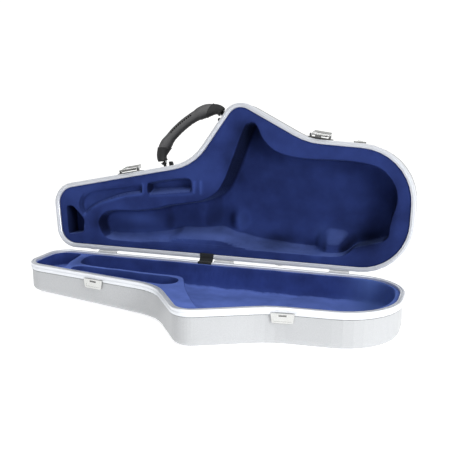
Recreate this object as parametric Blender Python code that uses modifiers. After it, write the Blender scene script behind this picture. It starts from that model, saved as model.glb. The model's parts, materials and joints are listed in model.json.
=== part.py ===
"""Alto saxophone case: a lid lying on its flat panel and the case body hinged up from it.

Both halves are drawn lying closed about the hinge line, which is the X axis: the lid below
the parting plane and the body above it. The body then hangs on an empty that opens it.
A place on a half is given as (u, v): u along the hinge line from the neck end, v across the
case from the inner edge of the rim on the hinge side. Lengths are in metres.
"""
import math

import bmesh
import bpy
from mathutils import Matrix, Vector

# Driving dimensions of the case
opening_length = 0.645
opening_width = 0.265
lid_depth = 0.062
body_depth = 0.088
opening_angle = math.radians(97.74)
neck_lid_share = 0.76
neck_body_share = 0.82
taper_end_share = 0.52
arc_step = math.radians(9.5)
fit_gap = 0.0003
cut_overrun = 0.004
smallest_radius = 0.0015

# Outline of the opening, as shares of its length and width, hinge side first. Corner radii,
# here and for the pockets, are shares of its width.
outline_shares = [(0.015, 0.0), (0.9975, 0.0), (1.0, 0.763), (0.710, 0.789),
                  (0.510, 1.029), (0.397, 0.590), (-0.007, 0.368)]
outline_radius_shares = [0.113, 0.309, 0.347, 0.453, 0.098, 0.340, 0.113]

# Aluminium rim extrusions
rim_width = 0.0080
rim_face_gap = 0.0002
rim_chamfer = 0.0008
rim_flange_height = 0.0120
rim_flange_wall = 0.0014
rim_groove_start = 0.0048
rim_groove_width = 0.0018
rim_groove_depth = 0.0005
rim_leg_wall = 0.0012
rim_leg_height = 0.0090
rim_web = 0.0038
seal_width = 0.0020
seal_depth = 0.0016
seal_clearance = 0.0002
seal_centre = 0.0040
axis_standoff = 0.0028

# Moulded shells
shell_wall = 0.0025
shell_draft = math.radians(1.5)
lid_edge_radius = 0.0100
body_edge_radius = 0.0170
edge_steps = 4
rim_zone = 0.0130

# Linings
lining_clearance = 0.0005
lining_top = 0.0035
lining_lip_height = 0.0030
tray_wall = 0.0035
pocket_draft = math.radians(4.5)
pocket_floor_radius = 0.0070
small_floor_radius = 0.0050
pocket_steps = 2

# Body lining: the cavity for the instrument's body
body_cavity_shares = [(0.115, 0.045), (0.850, 0.053), (0.936, 0.143), (0.966, 0.370),
                      (0.964, 0.694), (0.614, 0.694), (0.575, 0.938), (0.535, 0.922),
                      (0.464, 0.374), (0.233, 0.253), (0.115, 0.253)]
body_cavity_radius_shares = [0.075, 0.060, 0.110, 0.226, 0.234, 0.170, 0.040, 0.045, 0.132, 0.226, 0.083]
body_cavity_floor_space = 0.016
spine_slope_reach_share = 0.23
spine_slope_share = 0.50
saddle_shares = [0.305, 0.320, 0.416, 0.434]
neck_floor_rise = 0.024
middle_floor_rise = 0.015
guard_block_share = (0.766, 0.832)
guard_block_reach_share = 0.200
guard_block_drop = 0.010

# Body lining: small pockets
neck_pocket_shares = [(0.081, 0.190), (0.124, 0.302), (0.248, 0.381), (0.248, 0.449),
                      (0.116, 0.389), (0.056, 0.249)]
neck_pocket_radius_shares = [0.023, 0.151, 0.015, 0.023, 0.113, 0.023]
neck_pocket_depth = 0.026
mouthpiece_pocket_shares = [(0.271, 0.381), (0.397, 0.415), (0.394, 0.513), (0.264, 0.449)]
mouthpiece_pocket_radius_shares = [0.015, 0.023, 0.030, 0.023]
mouthpiece_pocket_depth = 0.030
accessory_pocket_shares = [(0.031, 0.045), (0.073, 0.072), (0.079, 0.158), (0.051, 0.268),
                           (0.020, 0.268)]
accessory_pocket_radius_shares = [0.015, 0.019, 0.038, 0.023, 0.019]
accessory_pocket_floor_space = 0.032

# Lid lining: the trough and bell hollow, the end compartment and the front pocket
lid_cavity_shares = [(0.102, 0.019), (0.989, 0.019), (0.989, 0.740), (0.709, 0.766),
                     (0.549, 0.962), (0.415, 0.328), (0.102, 0.306)]
lid_cavity_radius_shares = [0.091, 0.294, 0.325, 0.453, 0.038, 0.068, 0.098]
lid_cavity_floor_space = 0.019
lid_end_pocket_shares = [(0.017, 0.019), (0.068, 0.019), (0.088, 0.234), (0.088, 0.390),
                         (0.003, 0.345)]
lid_end_pocket_radius_shares = [0.083, 0.015, 0.113, 0.015, 0.083]
lid_end_pocket_depth = 0.026
lid_front_pocket_shares = [(0.108, 0.330), (0.400, 0.362), (0.421, 0.508), (0.349, 0.526),
                           (0.108, 0.405)]
lid_front_pocket_radius_shares = [0.023, 0.060, 0.030, 0.113, 0.023]
lid_front_pocket_depth = 0.022

# Butt hinges on the spine
hinge_end_shares = [0.155, 0.820]
hinge_length = 0.034
hinge_leaf_height = 0.0112
hinge_leaf_thickness = 0.0010
hinge_leaf_clear = 0.0028
knuckle_radius = 0.0022
centre_knuckle_share = 0.5
hinge_pin_radius = 0.0010
hinge_pin_clearance = 0.0001
hinge_pin_head_radius = 0.0016
hinge_pin_head_height = 0.0008

# Webbing stay across the hinge line
stay_share = 0.448
stay_width = 0.0248
stay_thickness = 0.0013
stay_notch_depth = 0.0016
stay_notch_side = 0.0008
stay_surface_gap = 0.0003
stay_hinge_gap = 0.0020

# Rubber feet on the spine
foot_shares = [0.085, 0.640]
foot_radius = 0.0095
foot_tip_radius = 0.0080
foot_height = 0.0090
foot_level_share = 0.55

# Draw latches on the front
latch_shares = {"left": 0.2060, "right": 0.7440}
latch_width = 0.0410
latch_plate_thickness = 0.0012
latch_plate_start = 0.0012
latch_plate_end = 0.0300
latch_ear_thickness = 0.0015
latch_ear_start = 0.0050
latch_ear_end = 0.0150
latch_ear_reach = 0.0034
latch_ear_inset = 0.0026
lever_axis_depth = 0.0100
lever_axis_height = 0.0036
lever_rest_angle = math.radians(9)
lever_side_thickness = 0.0012
lever_side_gap = 0.0004
lever_side_half_height = 0.0027
lever_plate_start = 0.0120
lever_plate_end = 0.0222
lever_plate_thickness = 0.0012
lever_lip_height = 0.0010
lever_lip_length = 0.0018
rivet_radius = 0.0013
rivet_head_radius = 0.0024
rivet_head_height = 0.0009
pivot_clearance = 0.0001
claw_axis_reach = 0.0090
claw_axis_drop = 0.0010
claw_pin_radius = 0.0010
claw_barrel_radius = 0.0020
claw_width = 0.0210
claw_thickness = 0.0012
claw_reach = 0.0312
claw_tongue_drop = 0.0031
claw_tongue_width = 0.0110

# Keepers on the lid
keeper_width = 0.0380
keeper_taper_share = 0.86
keeper_start = 0.0085
keeper_end = 0.0245
keeper_thickness = 0.0020
keeper_corner = 0.0022
keeper_dish_depth = 0.0004
keeper_dish_border = 0.0028
keeper_dish_start = 0.0160
keeper_slot_width = 0.0125
keeper_slot_clearance = 0.0008

# Carrying handle across the notch of the front edge
handle_depth = 0.0300
handle_low_share = 0.3010
handle_high_share = 0.4740
handle_standoff = 0.0068
handle_bow = 0.0340
handle_leg = 0.0040
sleeve_angle = math.radians(42)
grip_end_radius = 0.0124
grip_middle_radius = 0.0106
sleeve_tip_radius = 0.0086
sleeve_root_radius = 0.0102
grip_points = 13
sleeve_points = 6
loop_wire_radius = 0.0016
loop_bend_radius = 0.0020
eye_length = 0.0050
eye_radius = 0.0034
eye_clearance = 0.0003
bracket_length = 0.0320
bracket_width = 0.0150
bracket_thickness = 0.0018
bracket_post_radius = 0.0028
bracket_corner = 0.0040
lug_start = 0.0098
lug_end = 0.0150
lug_height = 0.0078
lug_width = 0.0110
lug_round = 0.0030

# Shoulder strap ring beside the bell
ring_share = 0.8500
ring_depth = 0.0185
ring_wire_radius = 0.0014
ring_half_width = 0.0100
ring_reach = 0.0130
ring_barrel_radius = 0.0026
ring_barrel_length = 0.0090
ring_clip_length = 0.0160
ring_clip_width = 0.0110
ring_clip_thickness = 0.0012
ring_points = 9

# Values worked out from the sizes above
hinge_inset = rim_width + axis_standoff
shell_outer = rim_width - rim_flange_wall - fit_gap
seal_half = seal_width / 2
body_cavity_depth = body_depth - body_cavity_floor_space
accessory_pocket_depth = body_depth - accessory_pocket_floor_space
lid_cavity_depth = lid_depth - lid_cavity_floor_space
knuckle_sides = 16
pin_sides = 12


def polar(angle):
    """Unit vector at an angle in the (u, v) plane."""
    return Vector((math.cos(angle), math.sin(angle)))


def from_shares(shares):
    """(u, v) places from shares of the opening's length and width."""
    return [Vector((along * opening_length, across * opening_width)) for along, across in shares]


def radii_from(shares):
    """Corner radii from shares of the opening's width."""
    return [share * opening_width for share in shares]


def rounded_outline(corners, radii, offset=0.0):
    """Rounded polygon moved outwards by offset. Every offset gives as many points."""
    points = []
    count = len(corners)
    for index, corner in enumerate(corners):
        arrive = corner - corners[index - 1]
        leave = corners[(index + 1) % count] - corner
        start = math.atan2(arrive.y, arrive.x) - math.pi / 2
        turn = math.atan2(arrive.x * leave.y - arrive.y * leave.x, arrive.dot(leave))
        side = math.copysign(1, turn)
        radius = max(radii[index] + side * offset, smallest_radius)
        centre = corner + polar(start + turn / 2) * (offset - side * radius) / math.cos(turn / 2)
        steps = max(2, round(abs(turn) / arc_step))
        for step in range(steps + 1):
            points.append(centre + polar(start + turn * step / steps) * side * radius)
    return points


def case_outline(offset):
    """Outline of the opening moved outwards by offset."""
    return rounded_outline(from_shares(outline_shares), radii_from(outline_radius_shares), offset)


def to_case(place, height):
    """Point in the closed case's frame: the hinge line is X, the front is -Y."""
    return Vector((place.x, -(place.y + hinge_inset), height))


def front_at(points, u):
    """Point of the front wall at a place u along the case."""
    found = []
    for index, point in enumerate(points):
        before = points[index - 1]
        if min(before.x, point.x) <= u < max(before.x, point.x):
            share = (u - before.x) / (point.x - before.x)
            found.append(before.lerp(point, share))
    return max(found, key=lambda place: place.y)


def front_seat(share, half_length, offset):
    """Place and direction for a flat plate laid against the front wall, and its outward way."""
    points = case_outline(offset)
    middle = front_at(points, share * opening_length)
    step = front_at(points, middle.x + smallest_radius) - front_at(points, middle.x - smallest_radius)
    reach = half_length * step.normalized().x
    start = front_at(points, middle.x - reach)
    end = front_at(points, middle.x + reach)
    along = (end - start).normalized()
    outward = Vector((-along.y, along.x))
    covered = [point for point in points if start.x < point.x < end.x and point.y > opening_width / 3]
    proud = max([(point - start).dot(outward) for point in covered] + [0.0])
    return (start + end) / 2 + outward * proud, along, outward


def seat_heading(along):
    """Turn about Z that lays X along the wall and -Y outwards."""
    return math.atan2(-along.y, along.x)


def loft(rings, closed=False, caps=True):
    """Skin a row of rings with quads. A closed loft joins its last ring to its first."""
    bm = bmesh.new()
    rows = [[bm.verts.new(point) for point in ring] for ring in rings]
    pairs = list(zip(rows, rows[1:]))
    if closed:
        pairs.append((rows[-1], rows[0]))
    for low, high in pairs:
        for i in range(len(low)):
            bm.faces.new((low[i - 1], low[i], high[i], high[i - 1]))
    if caps and not closed:
        bm.faces.new(rows[0])
        bm.faces.new(rows[-1])
    bmesh.ops.recalc_face_normals(bm, faces=bm.faces)
    return bm


def cut_across(bm, stations):
    """Split every face where it crosses one of the stations along the case."""
    for station in stations:
        bmesh.ops.bisect_plane(bm, geom=bm.verts[:] + bm.edges[:] + bm.faces[:],
                               plane_co=(station, 0, 0), plane_no=(1, 0, 0))


def between(value, table):
    """Straight-line reading of a table of (station, number) rows."""
    if value <= table[0][0]:
        return table[0][1]
    for (low, first), (high, second) in zip(table, table[1:]):
        if value <= high:
            return first + (second - first) * (value - low) / (high - low)
    return table[-1][1]


def depth_table(depth, neck_share):
    """How deep a half is along its length, measured from the rim zone."""
    full = depth - rim_zone
    bend = taper_end_share * opening_length
    ease = bend / 8
    slope = (1 - neck_share) * full / bend
    rows = [(0, full - slope * bend)]
    for share in (-1.0, -0.5, 0.0, 0.5, 1.0):
        station = bend + share * ease
        rows.append((station, full - slope * ease * (1 - share) ** 2 / 4))
    return rows


def shape_depth(bm, depth, neck_share, surface_depth, sign, rise=None):
    """Follow the half's depth with a surface that was drawn at one depth all along."""
    table = depth_table(depth, neck_share)
    stations = [row[0] for row in table[1:]]
    if rise:
        stations += [row[0] for row in rise]
    cut_across(bm, stations)
    for vert in bm.verts:
        level = vert.co.z * sign - rim_zone
        if level > 0:
            wanted = between(vert.co.x, table) - (depth - surface_depth)
            if rise:
                wanted -= between(vert.co.x, rise)
            vert.co.z = sign * (rim_zone + level * wanted / (surface_depth - rim_zone))


def surface_rings(depth, edge_radius, inset, start_depth, sign):
    """Rings down a half's wall and round its edge, inset from the shell's outer surface."""
    run = math.tan(shell_draft) * (depth - edge_radius)
    rings = [(shell_outer - inset, start_depth)]
    radius = edge_radius - inset
    for step in range(edge_steps + 1):
        angle = math.pi / 2 * step / edge_steps
        rings.append((shell_outer - run - edge_radius + radius * math.cos(angle),
                      depth - edge_radius + radius * math.sin(angle)))
    return [[to_case(place, sign * level) for place in case_outline(offset)] for offset, level in rings]


def material(name, colour, roughness, metallic=0.0):
    """One Principled material."""
    made = bpy.data.materials.new(name)
    made.use_nodes = True
    shader = made.node_tree.nodes["Principled BSDF"]
    shader.inputs["Base Color"].default_value = (*colour, 1)
    shader.inputs["Roughness"].default_value = roughness
    shader.inputs["Metallic"].default_value = metallic
    return made


def empty(name, parent, location=(0, 0, 0), rotation=(0, 0, 0)):
    """An empty that carries parts."""
    made = bpy.data.objects.new(name, None)
    parts.objects.link(made)
    made.empty_display_size = rim_width
    made.location = location
    made.rotation_euler = rotation
    made.parent = parent
    return made


def add_mesh(name, bm, parent, finish=None, smooth=None):
    """Turn a bmesh into an object: a part when it has a finish, and a cutter otherwise."""
    mesh = bpy.data.meshes.new(name)
    bm.to_mesh(mesh)
    bm.free()
    made = bpy.data.objects.new(name, mesh)
    made.parent = parent
    if finish:
        mesh.materials.append(finish)
        parts.objects.link(made)
        if smooth:
            mesh.shade_smooth()
            mesh.set_sharp_from_angle(angle=smooth)
    else:
        cutters.objects.link(made)
        made.hide_render = True
        made.display_type = "WIRE"
    return made


def boolean(target, tool, operation):
    """Add an exact Boolean modifier."""
    step = target.modifiers.new(tool.name, "BOOLEAN")
    step.operation = operation
    step.solver = "EXACT"
    step.object = tool


def box(low, high):
    """bmesh box between two corners."""
    bm = bmesh.new()
    size = Vector(high) - Vector(low)
    middle = (Vector(high) + Vector(low)) / 2
    bmesh.ops.create_cube(bm, size=1, matrix=Matrix.Translation(middle) @ Matrix.Diagonal((*size, 1)))
    return bm


def rod(radius, low, high, sides=pin_sides, centre=(0, 0), end_radius=None):
    """bmesh cylinder or cone along X, between low and high, about centre in (y, z)."""
    bm = bmesh.new()
    turn = Matrix.Rotation(math.pi / 2, 4, "Y")
    place = Matrix.Translation(((low + high) / 2, *centre))
    bmesh.ops.create_cone(bm, cap_ends=True, segments=sides, radius1=radius,
                          radius2=radius if end_radius is None else end_radius,
                          depth=high - low, matrix=place @ turn)
    return bm


def extrusion(profile, low, high):
    """Extrude a (height, depth) profile along X. Height is outwards, which is -Y."""
    return loft([[Vector((x, -height, depth)) for height, depth in profile] for x in (low, high)])


def turned(profile, name, parent, finish, sides=pin_sides):
    """Turn an (x, radius) profile about X with a Screw modifier."""
    mesh = bpy.data.meshes.new(name)
    rows = [(x, 0, radius) for x, radius in profile]
    mesh.from_pydata(rows, [(i, i + 1) for i in range(len(rows) - 1)], [])
    mesh.materials.append(finish)
    made = bpy.data.objects.new(name, mesh)
    parts.objects.link(made)
    made.parent = parent
    screw = made.modifiers.new("turn", "SCREW")
    screw.axis = "X"
    screw.steps = sides
    screw.render_steps = sides
    screw.use_merge_vertices = True
    screw.merge_threshold = 0.00001
    screw.use_smooth_shade = True
    return made


def wire(name, points, radius, parent, finish, cyclic=False, radii=None, resolution=2):
    """Round wire along points, as a POLY curve with filled caps."""
    curve = bpy.data.curves.new(name, "CURVE")
    curve.dimensions = "3D"
    curve.bevel_depth = radius
    curve.bevel_resolution = resolution
    curve.use_fill_caps = True
    spline = curve.splines.new("POLY")
    spline.points.add(len(points) - 1)
    for index, point in enumerate(points):
        spline.points[index].co = (*point, 1)
        spline.points[index].radius = radii[index] / radius if radii else 1
    spline.use_cyclic_u = cyclic
    curve.materials.append(finish)
    made = bpy.data.objects.new(name, curve)
    parts.objects.link(made)
    made.parent = parent
    return made


def arc_points(centre, radius, start, end, steps):
    """Points of an arc in a plane, ends included."""
    return [Vector(centre) + polar(start + (end - start) * i / steps) * radius for i in range(steps + 1)]


def make_rim(name, half, sign):
    """Rim extrusion bent round the opening: face, outer flange, inner leg and seal."""
    face = rim_face_gap
    if sign < 0:
        seal = [(seal_centre - seal_half, face), (seal_centre - seal_half, face + seal_depth),
                (seal_centre + seal_half, face + seal_depth), (seal_centre + seal_half, face)]
    else:
        tongue = seal_half - seal_clearance
        seal = [(seal_centre - tongue, face), (seal_centre - tongue, seal_clearance - seal_depth),
                (seal_centre + tongue, seal_clearance - seal_depth), (seal_centre + tongue, face)]
    inner_flange = rim_width - rim_flange_wall
    profile = [(0, face + rim_chamfer), (rim_chamfer, face), *seal,
               (rim_width - rim_chamfer, face), (rim_width, face + rim_chamfer),
               (rim_width, rim_groove_start),
               (rim_width - rim_groove_depth, rim_groove_start + rim_groove_depth),
               (rim_width - rim_groove_depth, rim_groove_start + rim_groove_width - rim_groove_depth),
               (rim_width, rim_groove_start + rim_groove_width),
               (rim_width, rim_flange_height - rim_chamfer),
               (rim_width - rim_chamfer, rim_flange_height), (inner_flange, rim_flange_height),
               (inner_flange, rim_web), (rim_leg_wall, rim_web), (rim_leg_wall, rim_leg_height),
               (0, rim_leg_height)]
    rings = [[to_case(place, sign * level) for place in case_outline(offset)] for offset, level in profile]
    rim = add_mesh(name, loft(rings, closed=True), half, rim_metal, math.radians(30))
    middle = stay_share * opening_length
    reach = stay_width / 2 + stay_notch_side
    levels = sorted((-sign * seal_depth * 2, sign * (face + stay_notch_depth)))
    notch = box((middle - reach, -hinge_inset - cut_overrun, levels[0]),
                (middle + reach, -hinge_inset + rim_width + cut_overrun, levels[1]))
    boolean(rim, add_mesh(name + "_stay_notch", notch, half), "DIFFERENCE")


def make_shell(name, half, sign, depth, edge_radius, neck_share):
    """Moulded shell: drafted wall, rounded edge and a panel that rises towards the neck end."""
    rings = surface_rings(depth, edge_radius, 0, rim_web + fit_gap, sign)
    bm = loft(rings, caps=False)
    panel = bm.faces.new([vert for vert in bm.verts[-len(rings[0]):]])
    bmesh.ops.recalc_face_normals(bm, faces=bm.faces)
    if panel.normal.z * sign < 0:
        bmesh.ops.reverse_faces(bm, faces=bm.faces)
    shape_depth(bm, depth, neck_share, depth, sign)
    shell = add_mesh(name, bm, half, shell_plastic, math.radians(35))
    wall = shell.modifiers.new("wall", "SOLIDIFY")
    wall.thickness = shell_wall
    wall.offset = -1
    wall.use_even_offset = True


def pocket_form(outline, depth, half_depth, neck_share, sign, wall=0.0, follow=True, slope=False, rise=None):
    """Drafted hollow with a rounded floor. With a wall it is the tray's own outer form."""
    corners, radii = outline
    floor = depth + wall
    radius = (pocket_floor_radius if slope or sign < 0 else small_floor_radius) + wall
    run = math.tan(pocket_draft) * (floor - radius)
    top = lining_top + lining_lip_height if wall else lining_top - cut_overrun
    levels = [(wall, top)]
    for step in range(pocket_steps + 1):
        angle = math.pi / 2 * step / pocket_steps
        levels.append((wall - run - radius * (1 - math.cos(angle)), floor - radius * (1 - math.sin(angle))))
    reach = spine_slope_reach_share * opening_width
    rings = []
    for offset, level in levels:
        ring = []
        for place in rounded_outline(corners, radii, offset):
            if slope and place.y < reach:
                share = max(0.0, (level - lining_top) / (floor - lining_top))
                place.y += (reach - place.y) * spine_slope_share * share
            ring.append(to_case(place, sign * level))
        rings.append(ring)
    bm = loft(rings)
    if follow:
        shape_depth(bm, half_depth, neck_share, floor, sign, rise)
    return bm


def make_lid_lining(half):
    """Foam block that fills the lid, with its hollows cut in."""
    sign = -1
    inset = shell_wall + lining_clearance
    edge = -fit_gap
    top = [(edge, lining_top), (edge, rim_leg_height + fit_gap)]
    rings = [[to_case(place, sign * level) for place in case_outline(offset)] for offset, level in top]
    rings += surface_rings(lid_depth, lid_edge_radius, inset, rim_leg_height + fit_gap, sign)
    bm = loft(rings)
    shape_depth(bm, lid_depth, neck_lid_share, lid_depth - inset, sign)
    lining = add_mesh("lid_lining", bm, half, plush, math.radians(30))
    hollows = {
        "lid_cavity": (lid_cavity_shares, lid_cavity_radius_shares, lid_cavity_depth, True),
        "lid_end_pocket": (lid_end_pocket_shares, lid_end_pocket_radius_shares, lid_end_pocket_depth, False),
        "lid_front_pocket": (lid_front_pocket_shares, lid_front_pocket_radius_shares, lid_front_pocket_depth,
                             False)}
    for name, (shares, radii, depth, follow) in hollows.items():
        form = pocket_form((from_shares(shares), radii_from(radii)), depth, lid_depth, neck_lid_share,
                           sign, follow=follow)
        boolean(lining, add_mesh(name, form, half), "DIFFERENCE")
    cut_stay_slot(lining, half, sign)


def cut_stay_slot(lining, half, sign):
    """Slot in a lining's edge that the stay's tail passes down."""
    middle = stay_share * opening_length
    reach = stay_width / 2 + stay_notch_side
    depth = rim_leg_height + fit_gap
    levels = sorted((sign * (lining_top - cut_overrun), sign * (depth + stay_thickness)))
    width = stay_thickness + 2 * stay_surface_gap + stay_notch_side
    slot = box((middle - reach, -hinge_inset - width, levels[0]),
               (middle + reach, -hinge_inset + rim_leg_wall, levels[1]))
    boolean(lining, add_mesh(lining.name + "_stay_slot", slot, half), "DIFFERENCE")


def make_body_lining(half):
    """Moulded tray: a rim ledge with thin-walled hollows hanging from it."""
    sign = 1
    lip = rim_leg_height + fit_gap
    inset = shell_wall + lining_clearance
    bottom = lip + lining_lip_height
    ledge = [(-fit_gap, lining_top), (-fit_gap, lip),
             (shell_outer - inset, lip), (shell_outer - inset, bottom)]
    rings = [[to_case(place, level) for place in case_outline(offset)] for offset, level in ledge]
    lining = add_mesh("body_lining", loft(rings), half, plush, math.radians(30))
    full = opening_length
    rise = [(saddle_shares[0] * full, neck_floor_rise), (saddle_shares[1] * full, middle_floor_rise),
            (saddle_shares[2] * full, middle_floor_rise), (saddle_shares[3] * full, 0.0)]
    hollows = {
        "body_cavity": (body_cavity_shares, body_cavity_radius_shares, body_cavity_depth, True, True, rise),
        "neck_pocket": (neck_pocket_shares, neck_pocket_radius_shares, neck_pocket_depth, False, False, None),
        "mouthpiece_pocket": (mouthpiece_pocket_shares, mouthpiece_pocket_radius_shares,
                              mouthpiece_pocket_depth, False, False, None),
        "accessory_pocket": (accessory_pocket_shares, accessory_pocket_radius_shares,
                             accessory_pocket_depth, True, False, None)}
    for wall in (tray_wall, 0.0):
        for name, (shares, radii, depth, follow, slope, steps) in hollows.items():
            form = pocket_form((from_shares(shares), radii_from(radii)), depth, body_depth,
                               neck_body_share, sign, wall, follow, slope, steps)
            if wall:
                boolean(lining, add_mesh(name + "_form", form, half), "UNION")
            else:
                cutter = add_mesh(name, form, half)
                if name == "body_cavity":
                    boolean(cutter, add_mesh("guard_block", guard_block(), half), "DIFFERENCE")
                boolean(lining, cutter, "DIFFERENCE")
    cut_stay_slot(lining, half, sign)


def guard_block():
    """Raised block on the spine side of the body cavity, which holds the key guards."""
    low, high = guard_block_share
    reach = guard_block_reach_share * opening_width
    return box((low * opening_length, -hinge_inset - reach, lining_top + guard_block_drop),
               (high * opening_length, -hinge_inset + cut_overrun, body_depth))


def make_hinges(lid, body):
    """Three butt hinges, each with a three-knuckle barrel and a headed pin."""
    near = -axis_standoff + fit_gap
    far = near + hinge_leaf_thickness
    centre_half = hinge_length * centre_knuckle_share / 2
    beside = (stay_share * opening_length + stay_width / 2 + stay_notch_side + stay_hinge_gap
              + hinge_length / 2 + hinge_pin_head_height)
    first, last = (share * opening_length for share in hinge_end_shares)
    for number, middle in enumerate((first, beside, last), 1):
        spans = {"lid": [(-centre_half, centre_half)],
                 "body": [(-hinge_length / 2, -centre_half - fit_gap),
                          (centre_half + fit_gap, hinge_length / 2)]}
        for owner, half, sign in (("lid", lid, -1), ("body", body, 1)):
            name = f"{owner}_hinge_leaf_{number}"
            place = empty(name + "_place", half, (middle, 0, 0))
            levels = sorted((sign * hinge_leaf_clear, sign * hinge_leaf_height))
            plate = box((-hinge_length / 2, near, levels[0]), (hinge_length / 2, far, levels[1]))
            leaf = add_mesh(name, plate, place, steel)
            for index, (low, high) in enumerate(spans[owner]):
                web = sorted((0.0, sign * (hinge_leaf_clear + hinge_leaf_thickness)))
                web_box = box((low, near, web[0]), (high, far, web[1]))
                boolean(leaf, add_mesh(f"{name}_web_{index}", web_box, place), "UNION")
                barrel = rod(knuckle_radius, low, high, knuckle_sides)
                boolean(leaf, add_mesh(f"{name}_knuckle_{index}", barrel, place), "UNION")
            bore = rod(hinge_pin_radius + hinge_pin_clearance, -hinge_length, hinge_length)
            boolean(leaf, add_mesh(f"{name}_bore", bore, place), "DIFFERENCE")
        end = hinge_length / 2 + fit_gap
        tip = end + hinge_pin_head_height
        profile = [(tip, 0), (tip, hinge_pin_head_radius), (end, hinge_pin_head_radius),
                   (end, hinge_pin_radius), (-end, hinge_pin_radius), (-end, hinge_pin_head_radius),
                   (-tip, hinge_pin_head_radius), (-tip, 0)]
        pin_place = empty(f"hinge_pin_{number}_place", lid, (middle, 0, 0))
        turned(profile, f"hinge_pin_{number}", pin_place, steel)


def make_stay(lid):
    """Webbing stay: over both rims' notches, across the hinge line and down inside each rim."""
    half = stay_thickness / 2
    rise = rim_face_gap + stay_notch_depth - stay_surface_gap - half
    inner = -hinge_inset - stay_surface_gap - half
    lid_side = [Vector((inner, -rim_leg_height)), Vector((inner, -rise)), Vector((-axis_standoff, -rise))]
    turn = Matrix.Rotation(-opening_angle, 2)
    body_side = [turn @ Vector((-axis_standoff, rise)), turn @ Vector((inner, rise)),
                 turn @ Vector((inner, rim_leg_height))]
    path = lid_side + body_side
    middle = stay_share * opening_length
    bm = bmesh.new()
    rows = []
    for x in (middle - stay_width / 2, middle + stay_width / 2):
        rows.append([bm.verts.new((x, point.x, point.y)) for point in path])
    for i in range(len(path) - 1):
        bm.faces.new((rows[0][i], rows[0][i + 1], rows[1][i + 1], rows[1][i]))
    stay = add_mesh("hinge_stay_strap", bm, lid, webbing)
    thick = stay.modifiers.new("webbing", "SOLIDIFY")
    thick.thickness = stay_thickness
    thick.offset = 0
    thick.use_even_offset = True


def make_feet(half, owner, sign, depth):
    """Round rubber feet on the spine wall, which the closed case stands on."""
    level = depth * foot_level_share
    wall = hinge_inset - shell_outer + math.tan(shell_draft) * level
    for number, share in enumerate(foot_shares, 1):
        seat = (share * opening_length, -wall + fit_gap, sign * level)
        place = empty(f"{owner}_foot_{number}_place", half, seat, (sign * shell_draft, 0, math.pi / 2))
        foot = rod(foot_radius, math.tan(shell_draft) * foot_radius / 2,
                   foot_height, knuckle_sides, end_radius=foot_tip_radius)
        add_mesh(f"{owner}_foot_{number}", foot, place, rubber, math.radians(30))


def plate_profile(start, end, thickness, sign):
    """Side profile of a plate on the rim flange with a pad that reaches back to the shell."""
    near = rim_width + fit_gap
    step = rim_flange_height + fit_gap
    back = shell_outer + fit_gap
    rows = [(near, start), (near + thickness, start), (near + thickness, end)]
    if end > step:
        rows += [(back, end), (back, step), (near, step)]
    else:
        rows += [(near, end)]
    return [(height, sign * level) for height, level in rows]


def make_keeper(name, lid, share):
    """Keeper plate with a slot for the claw's tongue, on the lid's flange and shell."""
    place, along, outward = front_seat(share, latch_width / 2, rim_width)
    place -= outward * rim_width
    frame = empty(name + "_place", lid, to_case(place, 0), (0, 0, seat_heading(along)))
    half = keeper_width / 2
    bm = extrusion(plate_profile(keeper_start, keeper_end, keeper_thickness, -1), -half, half)
    for vert in bm.verts:
        share = (-vert.co.z - keeper_start) / (keeper_end - keeper_start)
        vert.co.x *= 1 - (1 - keeper_taper_share) * share
    keeper = add_mesh(name, bm, frame, chrome)
    corner = round_low_corners(keeper, keeper_corner)
    corner.name = "rounded corners"
    tongue = claw_reach - lever_axis_depth - claw_axis_reach
    reach = claw_thickness / 2 + keeper_slot_clearance
    slot = box((-keeper_slot_width / 2, -rim_width - keeper_thickness - cut_overrun, -tongue - reach),
               (keeper_slot_width / 2, -rim_width, -tongue + reach))
    boolean(keeper, add_mesh(name + "_slot", slot, frame), "DIFFERENCE")
    reach = keeper_width / 2 * keeper_taper_share - keeper_dish_border
    face = rim_width + fit_gap + keeper_thickness
    dish = box((-reach, -face - cut_overrun, -keeper_end + keeper_dish_border),
               (reach, -face + keeper_dish_depth, -keeper_dish_start))
    boolean(keeper, add_mesh(name + "_dish", dish, frame), "DIFFERENCE")


def round_low_corners(target, width):
    """Round the two lower corners of a keeper, weighted by their edges."""
    mesh = target.data
    weights = mesh.attributes.new("bevel_weight_edge", "FLOAT", "EDGE")
    low = min(vert.co.z for vert in mesh.vertices)
    for edge in mesh.edges:
        first, second = (mesh.vertices[i].co for i in edge.vertices)
        lying = abs(first.x - second.x) < abs(first.y - second.y) / 2
        if lying and max(first.z, second.z) <= low + fit_gap:
            weights.data[edge.index].value = 1
    step = target.modifiers.new("corners", "BEVEL")
    step.width = width
    step.segments = 3
    step.limit_method = "WEIGHT"
    return step


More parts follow.
